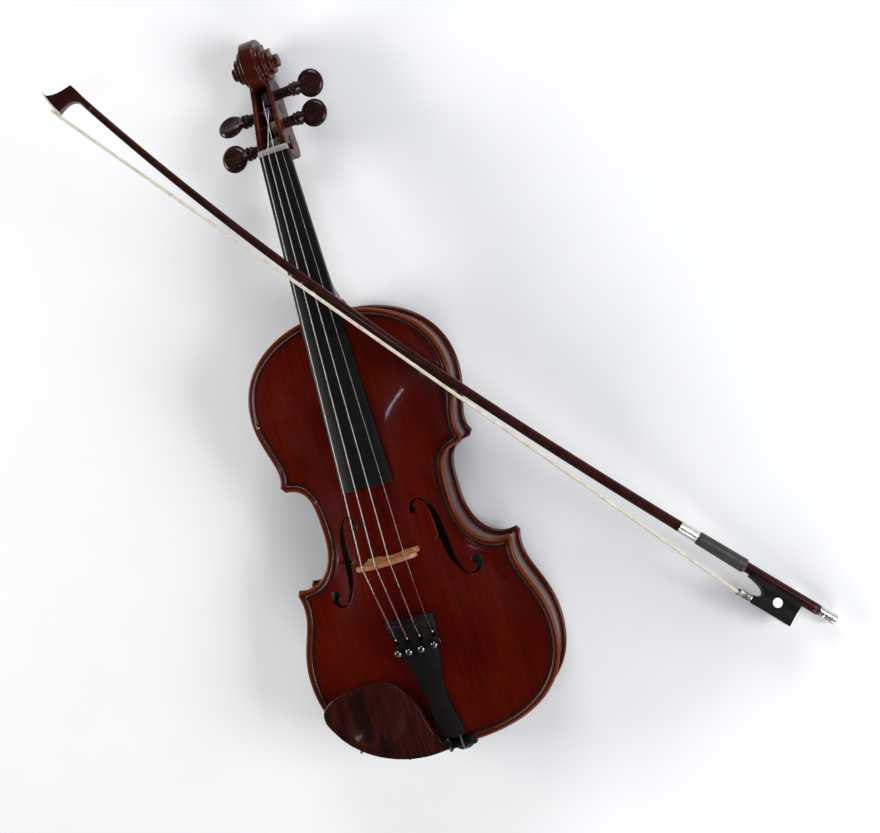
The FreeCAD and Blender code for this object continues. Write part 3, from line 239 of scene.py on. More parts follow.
# --- materials ------------------------------------------------------------------------------------
class Mat:
    """Procedural material under construction."""

    def __init__(self, name):
        self.mat = bpy.data.materials.new(name)
        self.mat.use_nodes = True
        self.tree = self.mat.node_tree
        self.shader = self.tree.nodes["Principled BSDF"]
        self.coords = self.add("ShaderNodeTexCoord").outputs["Object"]

    def add(self, kind, **values):
        node = self.tree.nodes.new(kind)
        for key, value in values.items():
            if key.startswith("in_"):
                node.inputs[key[3:].replace("_", " ")].default_value = value
            else:
                setattr(node, key, value)
        return node

    def link(self, a, b):
        self.tree.links.new(a, b)

    def mapped(self, scale, rotation=(0, 0, 0), source=None):
        m = self.add("ShaderNodeMapping")
        m.inputs["Scale"].default_value = scale
        m.inputs["Rotation"].default_value = rotation
        self.link(source or self.coords, m.inputs["Vector"])
        return m.outputs["Vector"]

    def noise(self, vector, scale=5.0, detail=4.0, rough=0.55, distortion=0.0):
        n = self.add("ShaderNodeTexNoise")
        n.inputs["Scale"].default_value = scale
        n.inputs["Detail"].default_value = detail
        n.inputs["Roughness"].default_value = rough
        n.inputs["Distortion"].default_value = distortion
        self.link(vector, n.inputs["Vector"])
        return n.outputs["Fac"]

    def ramp(self, value, stops, interpolation="LINEAR"):
        r = self.add("ShaderNodeValToRGB")
        r.color_ramp.interpolation = interpolation
        while len(r.color_ramp.elements) < len(stops):
            r.color_ramp.elements.new(0.5)
        for element, (at, colour) in zip(r.color_ramp.elements, stops):
            element.position = at
            if isinstance(colour, (int, float)):
                colour = (colour,) * 3
            element.color = (*colour, 1)
        self.link(value, r.inputs["Fac"])
        return r.outputs["Color"]

    def mix(self, fac, a, b, mode="MIX"):
        m = self.add("ShaderNodeMix", data_type="RGBA", blend_type=mode)
        for value, socket in ((fac, m.inputs[0]), (a, m.inputs[6]), (b, m.inputs[7])):
            if hasattr(value, "links"):
                self.link(value, socket)
            elif isinstance(value, tuple):
                socket.default_value = (*value, 1)
            else:
                socket.default_value = value
        return m.outputs[2]

    def math(self, operation, a, b=0.0, clamp=False):
        m = self.add("ShaderNodeMath", operation=operation, use_clamp=clamp)
        for value, socket in ((a, m.inputs[0]), (b, m.inputs[1])):
            if hasattr(value, "links"):
                self.link(value, socket)
            else:
                socket.default_value = value
        return m.outputs[0]

    def finish(self, colour=None, rough=None, height=None, bump=0.1, distance=0.0004, **sockets):
        if colour is not None:
            if hasattr(colour, "links"):
                self.link(colour, self.shader.inputs["Base Color"])
            else:
                self.shader.inputs["Base Color"].default_value = (*colour, 1)
        if rough is not None:
            if hasattr(rough, "links"):
                self.link(rough, self.shader.inputs["Roughness"])
            else:
                self.shader.inputs["Roughness"].default_value = rough
        if height is not None:
            b = self.add("ShaderNodeBump")
            b.inputs["Strength"].default_value = bump
            b.inputs["Distance"].default_value = distance
            self.link(height, b.inputs["Height"])
            self.link(b.outputs["Normal"], self.shader.inputs["Normal"])
        for key, value in sockets.items():
            self.shader.inputs[key.replace("_", " ")].default_value = value
        return self.mat


def varnished_spruce():
    """Fine straight grain under an orange-brown varnish with small dark flecks; painted light makes the bass
    half lighter and the treble half darker, a painted highlight lightens the rounded edge and painted shade
    darkens the channel by the edges.
    """
    m = Mat("varnished_spruce")
    grain = m.noise(m.mapped((1, 0.012, 0.2)), 1150, 2.0, 0.5)
    bands = m.noise(m.mapped((1, 0.03, 1)), 260, 3.0, 0.55)
    cloud = m.noise(m.mapped((1, 0.6, 1)), 14, 5.0, 0.6)
    base = m.ramp(cloud, [(0.28, (0.055, 0.0018, 0.0002)), (0.5, (0.078, 0.0030, 0.0003)),
                          (0.72, (0.105, 0.0065, 0.0005))])
    dark = m.ramp(grain, [(0.42, 0.70), (0.62, 1.0)])
    tone = m.mix(1.0, base, dark, "MULTIPLY")
    tone = m.mix(0.6, tone, m.ramp(bands, [(0.3, 0.72), (0.7, 1.08)]), "MULTIPLY")
    # painted light and shade: the bass half (-x) is made lighter and the treble half (+x) darker, as if lit
    # from the bass side
    x = m.add("ShaderNodeSeparateXYZ")
    m.link(m.coords, x.inputs[0])
    side = m.ramp(m.math("MULTIPLY_ADD", x.outputs[0], 4.6), [(0.0, (1.25, 1.30, 1.05)),
                                                            (1.0, (0.42, 0.22, 0.30))])
    tone = m.mix(0.55, tone, side, "MULTIPLY")
    # painted highlight: the rounded edge of the plate is lightened towards bright orange-brown
    edge = m.add("ShaderNodeAttribute", attribute_name="edge")
    tone = m.mix(m.math("MULTIPLY", edge.outputs["Fac"], 0.75), tone, (0.15, 0.028, 0.004))
    # painted shade: the channel inside the edge is darkened towards near-black
    channel = m.add("ShaderNodeAttribute", attribute_name="channel")
    tone = m.mix(m.math("MULTIPLY", channel.outputs["Fac"], 0.62), tone, (0.012, 0.0015, 0.0008))
    dust = m.noise(m.coords, 900, 3.0, 0.7)
    tone = m.mix(m.ramp(dust, [(0.70, 0.0), (0.78, 0.35)]), tone, (0.05, 0.006, 0.002))
    rough = m.ramp(m.noise(m.coords, 40, 4.0, 0.6), [(0.3, 0.24), (0.7, 0.36)])
    return m.finish(tone, rough, m.mix(0.5, grain, dust), 0.08, 0.0002, Coat_Weight=0.13,
                    Coat_Roughness=0.07, Specular_IOR_Level=0.05)


def varnished_maple(name, along, tint=1.0):
    """Flamed maple: soft cross bands that shimmer over fine grain, under the same varnish."""
    m = Mat(name)
    stretch = {"x": (0.05, 1, 1), "y": (1, 0.05, 1), "z": (1, 1, 0.05)}[along]
    flame = {"x": (1, 0.25, 0.25), "y": (0.25, 1, 0.25), "z": (0.9, 0.9, 0.10)}[along]
    grain = m.noise(m.mapped(stretch), 700, 3.0, 0.55)
    bands = m.noise(m.mapped(flame), 170, 2.0, 0.45, 0.3)
    cloud = m.noise(m.coords, 18, 4.0, 0.6)
    t = tint
    base = m.ramp(cloud, [(0.3, (0.026 * t, 0.0020 * t, 0.0005 * t)),
                          (0.7, (0.056 * t, 0.0066 * t, 0.0015 * t))])
    tone = m.mix(0.75, base, m.ramp(bands, [(0.32, 0.62), (0.55, 1.05), (0.68, 1.25)]), "MULTIPLY")
    tone = m.mix(0.5, tone, m.ramp(grain, [(0.35, 0.72), (0.6, 1.05)]), "MULTIPLY")
    rough = m.ramp(m.noise(m.coords, 60, 3.0, 0.6), [(0.3, 0.22), (0.7, 0.34)])
    return m.finish(tone, rough, grain, 0.08, 0.0002, Coat_Weight=0.22, Coat_Roughness=0.12,
                    Specular_IOR_Level=0.15)


def plain_wood(name, low, high, along=(1, 0.04, 1), scale=500, rough=0.55, coat=0.0, bump=0.15,
               streaks=None, rotation=(0, 0, 0)):
    m = Mat(name)
    vec = m.mapped(along, rotation)
    grain = m.noise(vec, scale, 4.0, 0.6)
    cloud = m.noise(m.mapped((1, 1, 1)), 45, 4.0, 0.6)
    tone = m.ramp(grain, [(0.3, low), (0.7, high)])
    tone = m.mix(0.6, tone, m.ramp(cloud, [(0.3, 0.75), (0.7, 1.15)]), "MULTIPLY")
    if streaks:
        wave = m.noise(m.mapped(tuple(a * (1 if a > 0.5 else 1.4) for a in along), rotation), scale * 0.22,
                       3.0, 0.6, 0.4)
        tone = m.mix(m.ramp(wave, [(0.46, 0.0), (0.58, 1.0)]), tone, streaks)
    pores = m.noise(vec, scale * 2.2, 2.0, 0.5)
    r = m.ramp(pores, [(0.35, rough + 0.12), (0.6, rough)])
    return m.finish(tone, r, pores, bump, 0.0003, Coat_Weight=coat, Coat_Roughness=0.12,
                    Specular_IOR_Level=0.07)


def bridge_wood():
    """Pale maple with short dark flecks."""
    m = Mat("bridge_maple")
    grain = m.noise(m.mapped((0.12, 1, 1)), 900, 4.0, 0.6)
    flecks = m.noise(m.mapped((0.30, 1, 1)), 2100, 1.0, 0.4)
    tone = m.ramp(grain, [(0.3, (0.20, 0.075, 0.022)), (0.7, (0.30, 0.120, 0.038))])
    tone = m.mix(m.ramp(flecks, [(0.64, 0.0), (0.70, 0.55)]), tone, (0.16, 0.06, 0.02))
    return m.finish(tone, 0.5, grain, 0.12, 0.0002, Coat_Weight=0.1, Coat_Roughness=0.3)


def metal(name, colour, rough=0.22, scale=2600, bump=0.05, along=(1, 1, 1)):
    m = Mat(name)
    fine = m.noise(m.mapped(along), scale, 3.0, 0.6)
    smudge = m.noise(m.coords, 240, 4.0, 0.6)
    tone = m.mix(0.5, tuple(colour), m.ramp(smudge, [(0.3, 0.72), (0.7, 1.1)]), "MULTIPLY")
    r = m.ramp(smudge, [(0.3, rough * 0.75), (0.7, rough * 1.5)])
    return m.finish(tone, r, fine, bump, 0.0001, Metallic=1.0)


def cloth_thread(name, colour, dark, rough=0.7, scale=2600):
    """Tightly wound thread."""
    m = Mat(name)
    fibre = m.noise(m.mapped((1, 1, 1)), scale, 3.0, 0.65)
    tone = m.mix(m.ramp(fibre, [(0.35, 0.0), (0.65, 1.0)]), tuple(dark), tuple(colour))
    return m.finish(tone, rough, fibre, 0.35, 0.0002, Sheen_Weight=0.4)


def hair_material():
    m = Mat("bow_hair")
    strands = m.noise(m.mapped((1, 1, 1)), 1500, 3.0, 0.7)
    soft = m.noise(m.coords, 160, 3.0, 0.5)
    tone = m.mix(0.7, m.ramp(soft, [(0.3, (0.55, 0.47, 0.36)), (0.7, (0.74, 0.68, 0.56))]),
                 m.ramp(strands, [(0.35, 0.72), (0.6, 1.05)]), "MULTIPLY")
    return m.finish(tone, 0.5, strands, 0.3, 0.0002, Sheen_Weight=0.3)


def leather():
    m = Mat("grip_leather")
    cells = m.add("ShaderNodeTexVoronoi", feature="F1")
    cells.inputs["Scale"].default_value = 1100
    m.link(m.coords, cells.inputs["Vector"])
    tone = m.ramp(m.noise(m.coords, 300, 4.0, 0.6), [(0.3, (0.010, 0.009, 0.009)),
                                                     (0.7, (0.030, 0.027, 0.027))])
    return m.finish(tone, 0.42, cells.outputs["Distance"], 0.35, 0.0003)


def pearl():
    """Mother-of-pearl: soft drifting pastel bands."""
    m = Mat("pearl")
    swirl = m.noise(m.coords, 260, 3.0, 0.5, 1.6)
    tone = m.ramp(swirl, [(0.25, (0.78, 0.86, 0.88)), (0.42, (0.95, 0.93, 0.88)), (0.55, (0.96, 0.80, 0.84)),
                          (0.7, (0.80, 0.92, 0.84)), (0.85, (0.93, 0.92, 0.95))])
    return m.finish(tone, 0.18, swirl, 0.05, 0.0002, Coat_Weight=0.6, Coat_Roughness=0.05)


def plain(name, low, high, rough=0.5, scale=400, bump=0.1, **sockets):
    m = Mat(name)
    n = m.noise(m.coords, scale, 4.0, 0.6)
    return m.finish(m.ramp(n, [(0.3, low), (0.7, high)]), rough, n, bump, 0.0002, **sockets)


# --- body outline and arching, as the frame has them ----------------------------------------------
LOW, WAIST, UP = 104.0, 54.5, 84.0
BOTTOM_Y, TOP_Y = -161.0, 195.0
EDGE_Z = {1: 50.0, -1: 11.0}      # flat edge of the top (+1) and the back (-1)
RISE = {1: 11.5, -1: 11.0}        # how far each arching rises from its edge


def bezier_points(points, count):
    a, b, c, d = [Vector(p) for p in points]
    out = []
    for k in range(count):
        t = k / count
        out.append((1 - t) ** 3 * a + 3 * t * (1 - t) ** 2 * b + 3 * t * t * (1 - t) * c + t ** 3 * d)
    return out


def body_outline():
    """Closed outline, counter-clockwise from the bottom centre, as (x, y)."""
    curves = [(((0, BOTTOM_Y), (40, BOTTOM_Y), (LOW, -150), (LOW, -85)), 90),
              (((LOW, -85), (LOW, -52), (83.5, -38), (91.5, -13.5)), 46),
              (((91.5, -13.5), (90.7, -12.2), (89.8, -10.8), (89.0, -9.5)), 4),
              (((89.0, -9.5), (72, -14.5), (WAIST, 0), (WAIST, 28)), 40),
              (((WAIST, 28), (WAIST, 53), (55, 67.5), (74.5, 68.8)), 36),
              (((74.5, 68.8), (75.7, 70.4), (76.8, 71.9), (78.0, 73.5)), 4),
              (((78.0, 73.5), (69.5, 86), (UP, 104), (UP, 128)), 40),
              (((UP, 128), (UP, 172), (44, TOP_Y), (0, TOP_Y)), 80)]
    right = [p for points, n in curves for p in bezier_points(points, n)]
    left = [Vector((-p.x, p.y)) for p in reversed(right[1:])]
    return np.array([(p.x, p.y) for p in right + [Vector((0, TOP_Y))] + left])


OUTLINE = body_outline()


def arch(x, y):
    lower = exp(-((y + 85.0) / 65.0) ** 2) * (LOW - WAIST)
    upper = exp(-((y - 128.0) / 55.0) ** 2) * (UP - WAIST)
    across = min(1.0, abs(x) / (WAIST - 6.0 + lower + upper))
    along = min(1.0, abs(y - 17.0) / 172.0)
    return 0.25 * (1 + cos(pi * across ** 1.6)) * (1 + cos(pi * along ** 3))


def distance_in(points):
    """Distance from each (x, y) to the outline."""
    a = OUTLINE
    b = np.roll(OUTLINE, -1, axis=0)
    d = b - a
    length2 = (d ** 2).sum(1)
    best = np.full(len(points), 1e9)
    for start in range(0, len(points), 4000):
        p = points[start:start + 4000, None, :]
        t = np.clip(((p - a) * d).sum(2) / length2, 0, 1)
        q = a + d * t[..., None]
        best[start:start + 4000] = np.sqrt(((p - q) ** 2).sum(2)).min(1)
    return best


def inset_points(distance, spacing=1.0):
    """Outline points moved in by a distance, dropping any that come too close elsewhere."""
    a = np.roll(OUTLINE, 1, axis=0)
    b = np.roll(OUTLINE, -1, axis=0)
    t = b - a
    t /= np.linalg.norm(t, axis=1)[:, None]
    normal = np.stack([-t[:, 1], t[:, 0]], 1)
    pts = OUTLINE + normal * distance
    keep = distance_in(pts) > distance - 0.02 - 0.01 * distance
    return pts, keep


def surface(x, y, d, up):
    """Height of the outside of a plate above its edge plane: arching, edge crown and channel."""
    rise = RISE[up] * arch(x, y)
    crown = 0.35 * exp(-((d - 2.2) / 1.5) ** 2)
    channel = 0.85 * exp(-((d - 6.4) / 2.6) ** 2)
    if d < 2.0:
        crown -= 2.0 * (1 - sqrt(max(0.0, 1 - (1 - d / 2.0) ** 2)))
    return rise + crown - channel


def f_hole_centre():
    """Middle line of the treble f-hole's cut, as (x, y, half width)."""
    middle = [(24.8, 31.0), (25.3, 33.2), (27.6, 36.2), (31.0, 37.2), (34.8, 34.4), (38.0, 28.2),
              (39.8, 19.7), (40.7, 11.4), (41.4, 3.3), (42.3, -5.8), (43.9, -14.6), (46.6, -22.4),
              (50.0, -28.0), (54.0, -30.8), (58.0, -30.2), (61.0, -27.6), (62.4, -24.0)]
    widths = [1.6, 1.4, 1.0, 0.6, 0.9, 1.7, 2.3, 2.7, 3.0, 2.9, 2.3, 1.5, 0.8, 0.6, 1.2, 2.2, 2.7]
    middle = [(x - 0.7, y) for x, y in middle]
    return smooth_path([(x, y, w) for (x, y), w in zip(middle, widths)], 6)


def inside(poly, pts):
    """Even-odd test of many points against one polygon."""
    x, y = pts[:, 0], pts[:, 1]
    result = np.zeros(len(pts), bool)
    n = len(poly)
    for i in range(n):
        (x0, y0), (x1, y1) = poly[i], poly[(i + 1) % n]
        crosses = (y0 > y) != (y1 > y)
        with np.errstate(divide="ignore", invalid="ignore"):
            at = (x1 - x0) * (y - y0) / (y1 - y0 + 1e-30) + x0
        result ^= crosses & (x < at)
    return result


def f_hole_depth(pts):
    """Positive inside the f-hole, negative outside, in mm."""
    c = np.array(f_hole_centre())
    x, y = np.abs(pts[:, 0]), pts[:, 1]
    best = np.full(len(pts), -1e9)
    for (ax, ay, aw), (bx, by, bw) in zip(c, c[1:]):
        dx, dy = bx - ax, by - ay
        t = np.clip(((x - ax) * dx + (y - ay) * dy) / (dx * dx + dy * dy + 1e-12), 0, 1)
        w = aw + (bw - aw) * t
        best = np.maximum(best, w - np.hypot(x - ax - t * dx, y - ay - t * dy))
    for ex, ey, r in ((24.5, 29.4, 2.8), (60.3, -21.4, 4.2)):
        best = np.maximum(best, r - np.hypot(x - ex, y - ey))
    for s in (-1, 1):
        best = np.maximum(best, 0.95 - np.hypot((x - 40.7 - s * 3.2) * 0.55, y - 3.3 - s * 0.4))
    return best


def march(step=0.55):
    """Outline of the treble f-hole by walking the zero line of its depth field."""
    xs = np.arange(18.0, 70.0, step)
    ys = np.arange(-38.0, 44.0, step)
    gx, gy = np.meshgrid(xs, ys)
    field = f_hole_depth(np.stack([gx.ravel(), gy.ravel()], 1)).reshape(gx.shape)
    segments = {}
    for j in range(len(ys) - 1):
        for i in range(len(xs) - 1):
            corner = [(i, j), (i + 1, j), (i + 1, j + 1), (i, j + 1)]
            values = [field[b, a] for a, b in corner]
            hits = []
            for k in range(4):
                va, vb = values[k], values[(k + 1) % 4]
                if (va > 0) != (vb > 0):
                    t = va / (va - vb)
                    (ia, ja), (ib, jb) = corner[k], corner[(k + 1) % 4]
                    point = (xs[ia] + (xs[ib] - xs[ia]) * t, ys[ja] + (ys[jb] - ys[ja]) * t)
                    key = (min(ia, ib), min(ja, jb), ia == ib)
                    hits.append((key, point, va > 0))
            if len(hits) == 2:
                (ka, pa, _), (kb, pb, _) = hits
                segments.setdefault(ka, []).append((kb, pb, pa))
                segments.setdefault(kb, []).append((ka, pa, pb))
    start = next(iter(segments))
    loop, key, previous = [segments[start][0][2]], start, None
    while True:
        options = [s for s in segments[key] if s[0] != previous]
        following = options[0]
        previous, key = key, following[0]
        if key == start:
            break
        loop.append(following[1])
    return loop


def plate_mesh(up, holes):
    """Points, faces and per-point distances of one plate: outside, inside and edge.

    up is +1 for the top and -1 for the back; heights are taken from the edge plane outwards."""
    flat, edges = [], []

    def loop(points):
        base = len(flat)
        flat.extend(Vector((float(p[0]), float(p[1]))) for p in points)
        n = len(points)
        edges.extend((base + k, base + (k + 1) % n) for k in range(n))

    loop(OUTLINE)
    for hole in holes:
        loop(hole)
    extra = []
    for inset in (0.15, 0.45, 0.9, 1.45, 2.1, 2.9, 3.9, 5.0, 6.2, 7.4, 8.8, 10.4):
        pts, keep = inset_points(inset)
        step = 1 if inset < 3 else 2
        extra.append(pts[keep][::step])
    gx, gy = np.meshgrid(np.arange(-101.0, 102.0, 2.6), np.arange(-160.0, 195.0, 2.6))
    gx[1::2] += 1.3
    grid = np.stack([gx.ravel(), gy.ravel()], 1)
    grid = grid[inside(OUTLINE, grid)]
    grid = grid[distance_in(grid) > 11.6]
    if holes:
        ringed = []
        for ring in (0.35, 0.9, 1.8):
            for hole in holes:
                h = np.array(hole)
                t = np.roll(h, -1, axis=0) - np.roll(h, 1, axis=0)
                t /= np.linalg.norm(t, axis=1)[:, None]
                for sign in (-1, 1):
                    moved = h + np.stack([-t[:, 1], t[:, 0]], 1) * ring * sign
                    depth = f_hole_depth(moved)
                    ringed.append(moved[depth < -ring * 0.8][::1 if ring < 1 else 2])
        grid = grid[f_hole_depth(grid) < -2.6]
        extra += ringed
    extra.append(grid)
    for block in extra:
        flat.extend(Vector((float(p[0]), float(p[1]))) for p in block)
    verts, _, faces, *_ = delaunay_2d_cdt(flat, edges, [], 0, 1e-5)
    xy = np.array([(v.x, v.y) for v in verts])
    centres = np.array([xy[list(f)].mean(0) for f in faces])
    ok = inside(OUTLINE, centres)
    for hole in holes:
        ok &= ~inside(hole, centres)
    faces = [f for f, k in zip(faces, ok) if k]
    used = sorted({i for f in faces for i in f})
    index = {old: new for new, old in enumerate(used)}
    faces = [tuple(index[i] for i in f) for f in faces]
    xy = xy[used]
    d = distance_in(xy)
    outer = np.array([surface(x, y, dist, up) for (x, y), dist in zip(xy, d)])
    rise = np.array([RISE[up] * arch(x, y) for x, y in xy])
    low = np.where(d < 2.0, -2.0 - 2.0 * np.sqrt(np.clip(1 - (1 - d / 2.0) ** 2, 0, 1)), -4.0)
    blend = np.clip((d - 8.0) / 3.0, 0, 1)
    inner = low * (1 - blend) + (rise - 3.0) * blend
    sides = dict.fromkeys((a, b) for f in faces for a, b in zip(f, f[1:] + f[:1]))
    rim = [(a, b) for a, b in sides if (b, a) not in sides]
    on_outline = d < 1e-3
    n = len(xy)
    second = np.arange(n) + n
    second[on_outline] = np.arange(n)[on_outline]
    all_faces = [tuple(f) for f in faces]
    all_faces += [tuple(int(second[i]) for i in reversed(f)) for f in faces]
    all_faces += [(b, a, int(second[a]), int(second[b])) for a, b in rim
                  if not (on_outline[a] and on_outline[b])]
    z = np.concatenate([EDGE_Z[up] + up * outer, EDGE_Z[up] + up * inner])
    points = np.column_stack([np.concatenate([xy, xy]), z])
    distance = np.concatenate([d, np.full(n, 20.0)])
    keep = sorted({i for f in all_faces for i in f})
    remap = {old: new for new, old in enumerate(keep)}
    all_faces = [tuple(dict.fromkeys(remap[i] for i in f)) for f in all_faces]
    all_faces = [f for f in all_faces if len(f) > 2]
    return points[keep], all_faces, distance[keep]


def plate(name, up, holes, material):
    points, faces, distance = plate_mesh(up, holes)
    obj = outward(new_object(name, points, faces, material))
    obj.data.materials.append(INNER)
    depth = distance_in(np.array([face.center[:2] for face in obj.data.polygons]) / MM)
    for face in obj.data.polygons:
        if face.normal.z * up < -0.3 and depth[face.index] > 4.4:
            face.material_index = 1
    # masks for the varnish: "edge" marks the rounded edge for a painted highlight, "channel" marks the
    # channel for painted shade
    for layer, values in (("edge", np.exp(-((distance - 1.2) / 1.3) ** 2)),
                          ("channel", np.exp(-((distance - 6.2) / 3.4) ** 2))):
        attribute = obj.data.attributes.new(layer, "FLOAT", "POINT")
        if len(values) == len(obj.data.vertices):
            attribute.data.foreach_set("value", np.asarray(values, np.float32))
    return obj


def strip_loop(insets, heights, sink):
    """Closed ribbon following the outline between two insets, lying on the plate."""
    rows = []
    keep_all = None
    for inset in insets:
        pts, keep = inset_points(inset)
        rows.append(pts)
        keep_all = keep if keep_all is None else keep_all & keep
    rows = [r[keep_all] for r in rows]
    n = len(rows[0])
    verts, faces = [], []
    for row, inset in zip(rows, insets):
        for x, y in row:
            verts.append((x, y, heights(x, y, inset)))
    for row, inset in zip(reversed(rows), reversed(insets)):
        for x, y in row:
            verts.append((x, y, heights(x, y, inset) - sink))
    rings = len(insets) * 2
    for r in range(rings):
        for k in range(n):
            a, b = r * n + k, r * n + (k + 1) % n
            c, d = ((r + 1) % rings) * n + (k + 1) % n, ((r + 1) % rings) * n + k
            faces.append((a, b, c, d))
    return verts, faces


# --- bow axes -------------------------------------------------------------------------------------
class BOW:
    """The bow's own axes: s along the stick, y to the hair, z to its upper side."""
    button = Vector((305.2, -146.9, 5.1))
    tip = Vector((-122.4, 414.6, 99.6))
    length = (tip - button).length
    along = (tip - button).normalized()
    up0 = (Vector((0, 0, 1)) - along * along.z).normalized()
    hair0 = up0.cross(along)
    c, s = cos(radians(18.0)), sin(radians(18.0))
    hair = hair0 * c + up0 * s
    up = up0 * c - hair0 * s


def at_bow(s, y, z):
    return tuple(BOW.button + BOW.along * s + BOW.hair * y + BOW.up * z)


def camber(s):
    t = s / BOW.length
    return 70.0 * t * (1 - t) * (0.7 + 0.6 * t)


def stick_radius(s):
    t = max(0.0, s / BOW.length - 0.15) / 0.85
    return 4.3 - 1.6 * t ** 1.25


def stick_path(s0, s1, count):
    return [at_bow(s0 + (s1 - s0) * k / count, camber(s0 + (s1 - s0) * k / count), 0)
            for k in range(count + 1)]


# --- the finishes ---------------------------------------------------------------------------------
SPRUCE = varnished_spruce()
MAPLE_BACK = varnished_maple("varnished_maple_back", "y")
MAPLE_RIBS = varnished_maple("varnished_maple_ribs", "x", 0.95)
MAPLE_NECK = varnished_maple("varnished_maple_neck", "y", 0.95)
INNER = plain_wood("inner_wood", (0.30, 0.27, 0.19), (0.42, 0.38, 0.28), scale=400, rough=0.8)
EBONY = plain_wood("ebony", (0.0030, 0.0026, 0.0024), (0.0075, 0.0062, 0.0056), scale=900,
                   rough=0.40, bump=0.12)
BRIDGE = bridge_wood()
ROSEWOOD = plain_wood("rosewood", (0.009, 0.0013, 0.0008), (0.040, 0.0060, 0.0032),
                      along=(1, 0.08, 1), scale=330, rough=0.30, coat=0.18, bump=0.10,
                      streaks=(0.007, 0.0015, 0.0012), rotation=(0, 0, 0.5))
PEGWOOD = plain_wood("peg_rosewood", (0.012, 0.0034, 0.0028), (0.030, 0.0085, 0.0066),
                     along=(0.08, 1, 1), scale=600, rough=0.28, coat=0.22, bump=0.08,
                     streaks=(0.012, 0.003, 0.003))
BOWWOOD = plain_wood("bow_wood", (0.016, 0.0032, 0.0024), (0.038, 0.0072, 0.0048),
                     along=(1, 0.6, 1), scale=500, rough=0.25, coat=0.25, bump=0.05,
                     streaks=(0.016, 0.003, 0.002))
BONE = plain("nut_bone", (0.17, 0.15, 0.13), (0.27, 0.25, 0.22), 0.42, 700, 0.08)
CORK = plain("cork", (0.20, 0.12, 0.06), (0.45, 0.30, 0.17), 0.9, 900, 0.5)
NICKEL = metal("nickel", (0.72, 0.70, 0.66), 0.20)
BLACK_METAL = plain("black_metal", (0.006, 0.006, 0.007), (0.012, 0.012, 0.013), 0.25, 900, 0.05,
                    Coat_Weight=0.4)
DARK_NICKEL = metal("dark_nickel", (0.10, 0.10, 0.11), 0.16)
STEEL = metal("steel_string", (0.36, 0.355, 0.35), 0.34, 3800, 0.12)
SILVER = metal("silver_wire", (0.86, 0.84, 0.80), 0.18)
BRASS = metal("brass", (0.72, 0.52, 0.22), 0.3)
HAIR = hair_material()
LEATHER = leather()
PEARL = pearl()
IVORY = plain("ivory_white", (0.52, 0.44, 0.32), (0.66, 0.58, 0.46), 0.32, 500, 0.08)
CORD = plain("tail_cord", (0.016, 0.016, 0.017), (0.04, 0.04, 0.042), 0.5, 1600, 0.2)
PURFLING_BLACK = plain("purfling_black", (0.010, 0.007, 0.006), (0.03, 0.018, 0.012), 0.35, 900, 0.05,
                       Coat_Weight=0.5)
SILKS = {"g": cloth_thread("silk_g", (0.36, 0.20, 0.09), (0.16, 0.07, 0.03)),
         "d": cloth_thread("silk_d", (0.33, 0.12, 0.36), (0.12, 0.04, 0.14)),
         "a": cloth_thread("silk_a", (0.30, 0.08, 0.12), (0.12, 0.03, 0.05)),
         "e": cloth_thread("silk_e", (0.40, 0.26, 0.12), (0.18, 0.09, 0.04))}
TAIL_SILK = cloth_thread("silk_tail", (0.16, 0.035, 0.05), (0.05, 0.012, 0.02))


# --- body -----------------------------------------------------------------------------------------
def make_body():
    hole = march()
    holes = [hole, [(-x, y) for x, y in reversed(hole)]]
    own(plate("top_plate_fine", 1, holes, SPRUCE), "instrument", "spruce_top", "top_plate")
    own(plate("back_plate_fine", -1, [], MAPLE_BACK), "instrument", "maple_body", "back_plate")
    button = rounded([(-0.2, 0.05), (-0.2, 10.3), (4.0, 10.3), (4.0, 0.05)], 0.8, 5)
    obj = outward(new_object("back_button", *lathe_mesh(button, (0, 196, 11.2), (0, 0, 1), 48),
                             MAPLE_BACK))
    own(obj, "instrument", "maple_body")
    parts = []
    for up in (1, -1):
        def height(x, y, inset, up=up):
            return EDGE_Z[up] + up * (surface(x, y, inset, up) + 0.04)
        parts.append(strip_loop((4.0, 4.4, 4.85, 5.25), height, 0.5 * up))
    own(outward(new_object("purfling_inlay", *merged(parts), PURFLING_BLACK)), "instrument", "purfling",
        "purfling")
    pts, keep = inset_points(3.0)
    inner, _ = inset_points(4.2)
    pts, inner = pts[keep], inner[keep]
    n = len(pts)
    rings = []
    for row, z in ((pts, 15.0), (pts, 23.0), (pts, 38.0), (pts, 46.0), (inner, 46.0), (inner, 15.0)):
        rings.append([(x, y, z) for x, y in row])
    verts = [p for ring in rings for p in ring]
    faces = []
    for r in range(6):
        for k in range(n):
            a, b = r * n + k, r * n + (k + 1) % n
            faces.append((a, b, ((r + 1) % 6) * n + (k + 1) % n, ((r + 1) % 6) * n + k))
    ribs = outward(new_object("ribs_fine", verts, faces, MAPLE_RIBS))
    names = ["rib_%s_%s" % (a, b) for a in ("upper", "centre", "lower") for b in ("treble", "bass")]
    ribs.data.materials.append(INNER)
    for face in ribs.data.polygons:
        if 4 * n <= face.index < 5 * n:
            face.material_index = 1
    sharp_edges(ribs, 40)
    own(ribs, "instrument", "maple_body", *names)
    for node in ("linings", "upper_block", "lower_block", "corner_blocks", "bass_bar", "sound_post"):
        paint(node, INNER)


def sharp_edges(obj, angle):
    """Smooth shading that still breaks at sharp edges."""
    bm = bmesh.new()
    bm.from_mesh(obj.data)
    for edge in bm.edges:
        if len(edge.link_faces) == 2 and edge.calc_face_angle(0) > radians(angle):
            edge.smooth = False
    bm.to_mesh(obj.data)
    bm.free()


def paint(node, material):
    """Give a kept CAD node its finish."""
    obj = NODES[node]
    obj.data.materials.clear()
    obj.data.materials.append(material)


# --- neck, fingerboard, nut, saddle ---------------------------------------------------------------
def glue_z(y):
    return 40.4 + 0.108 * (325.0 - y)


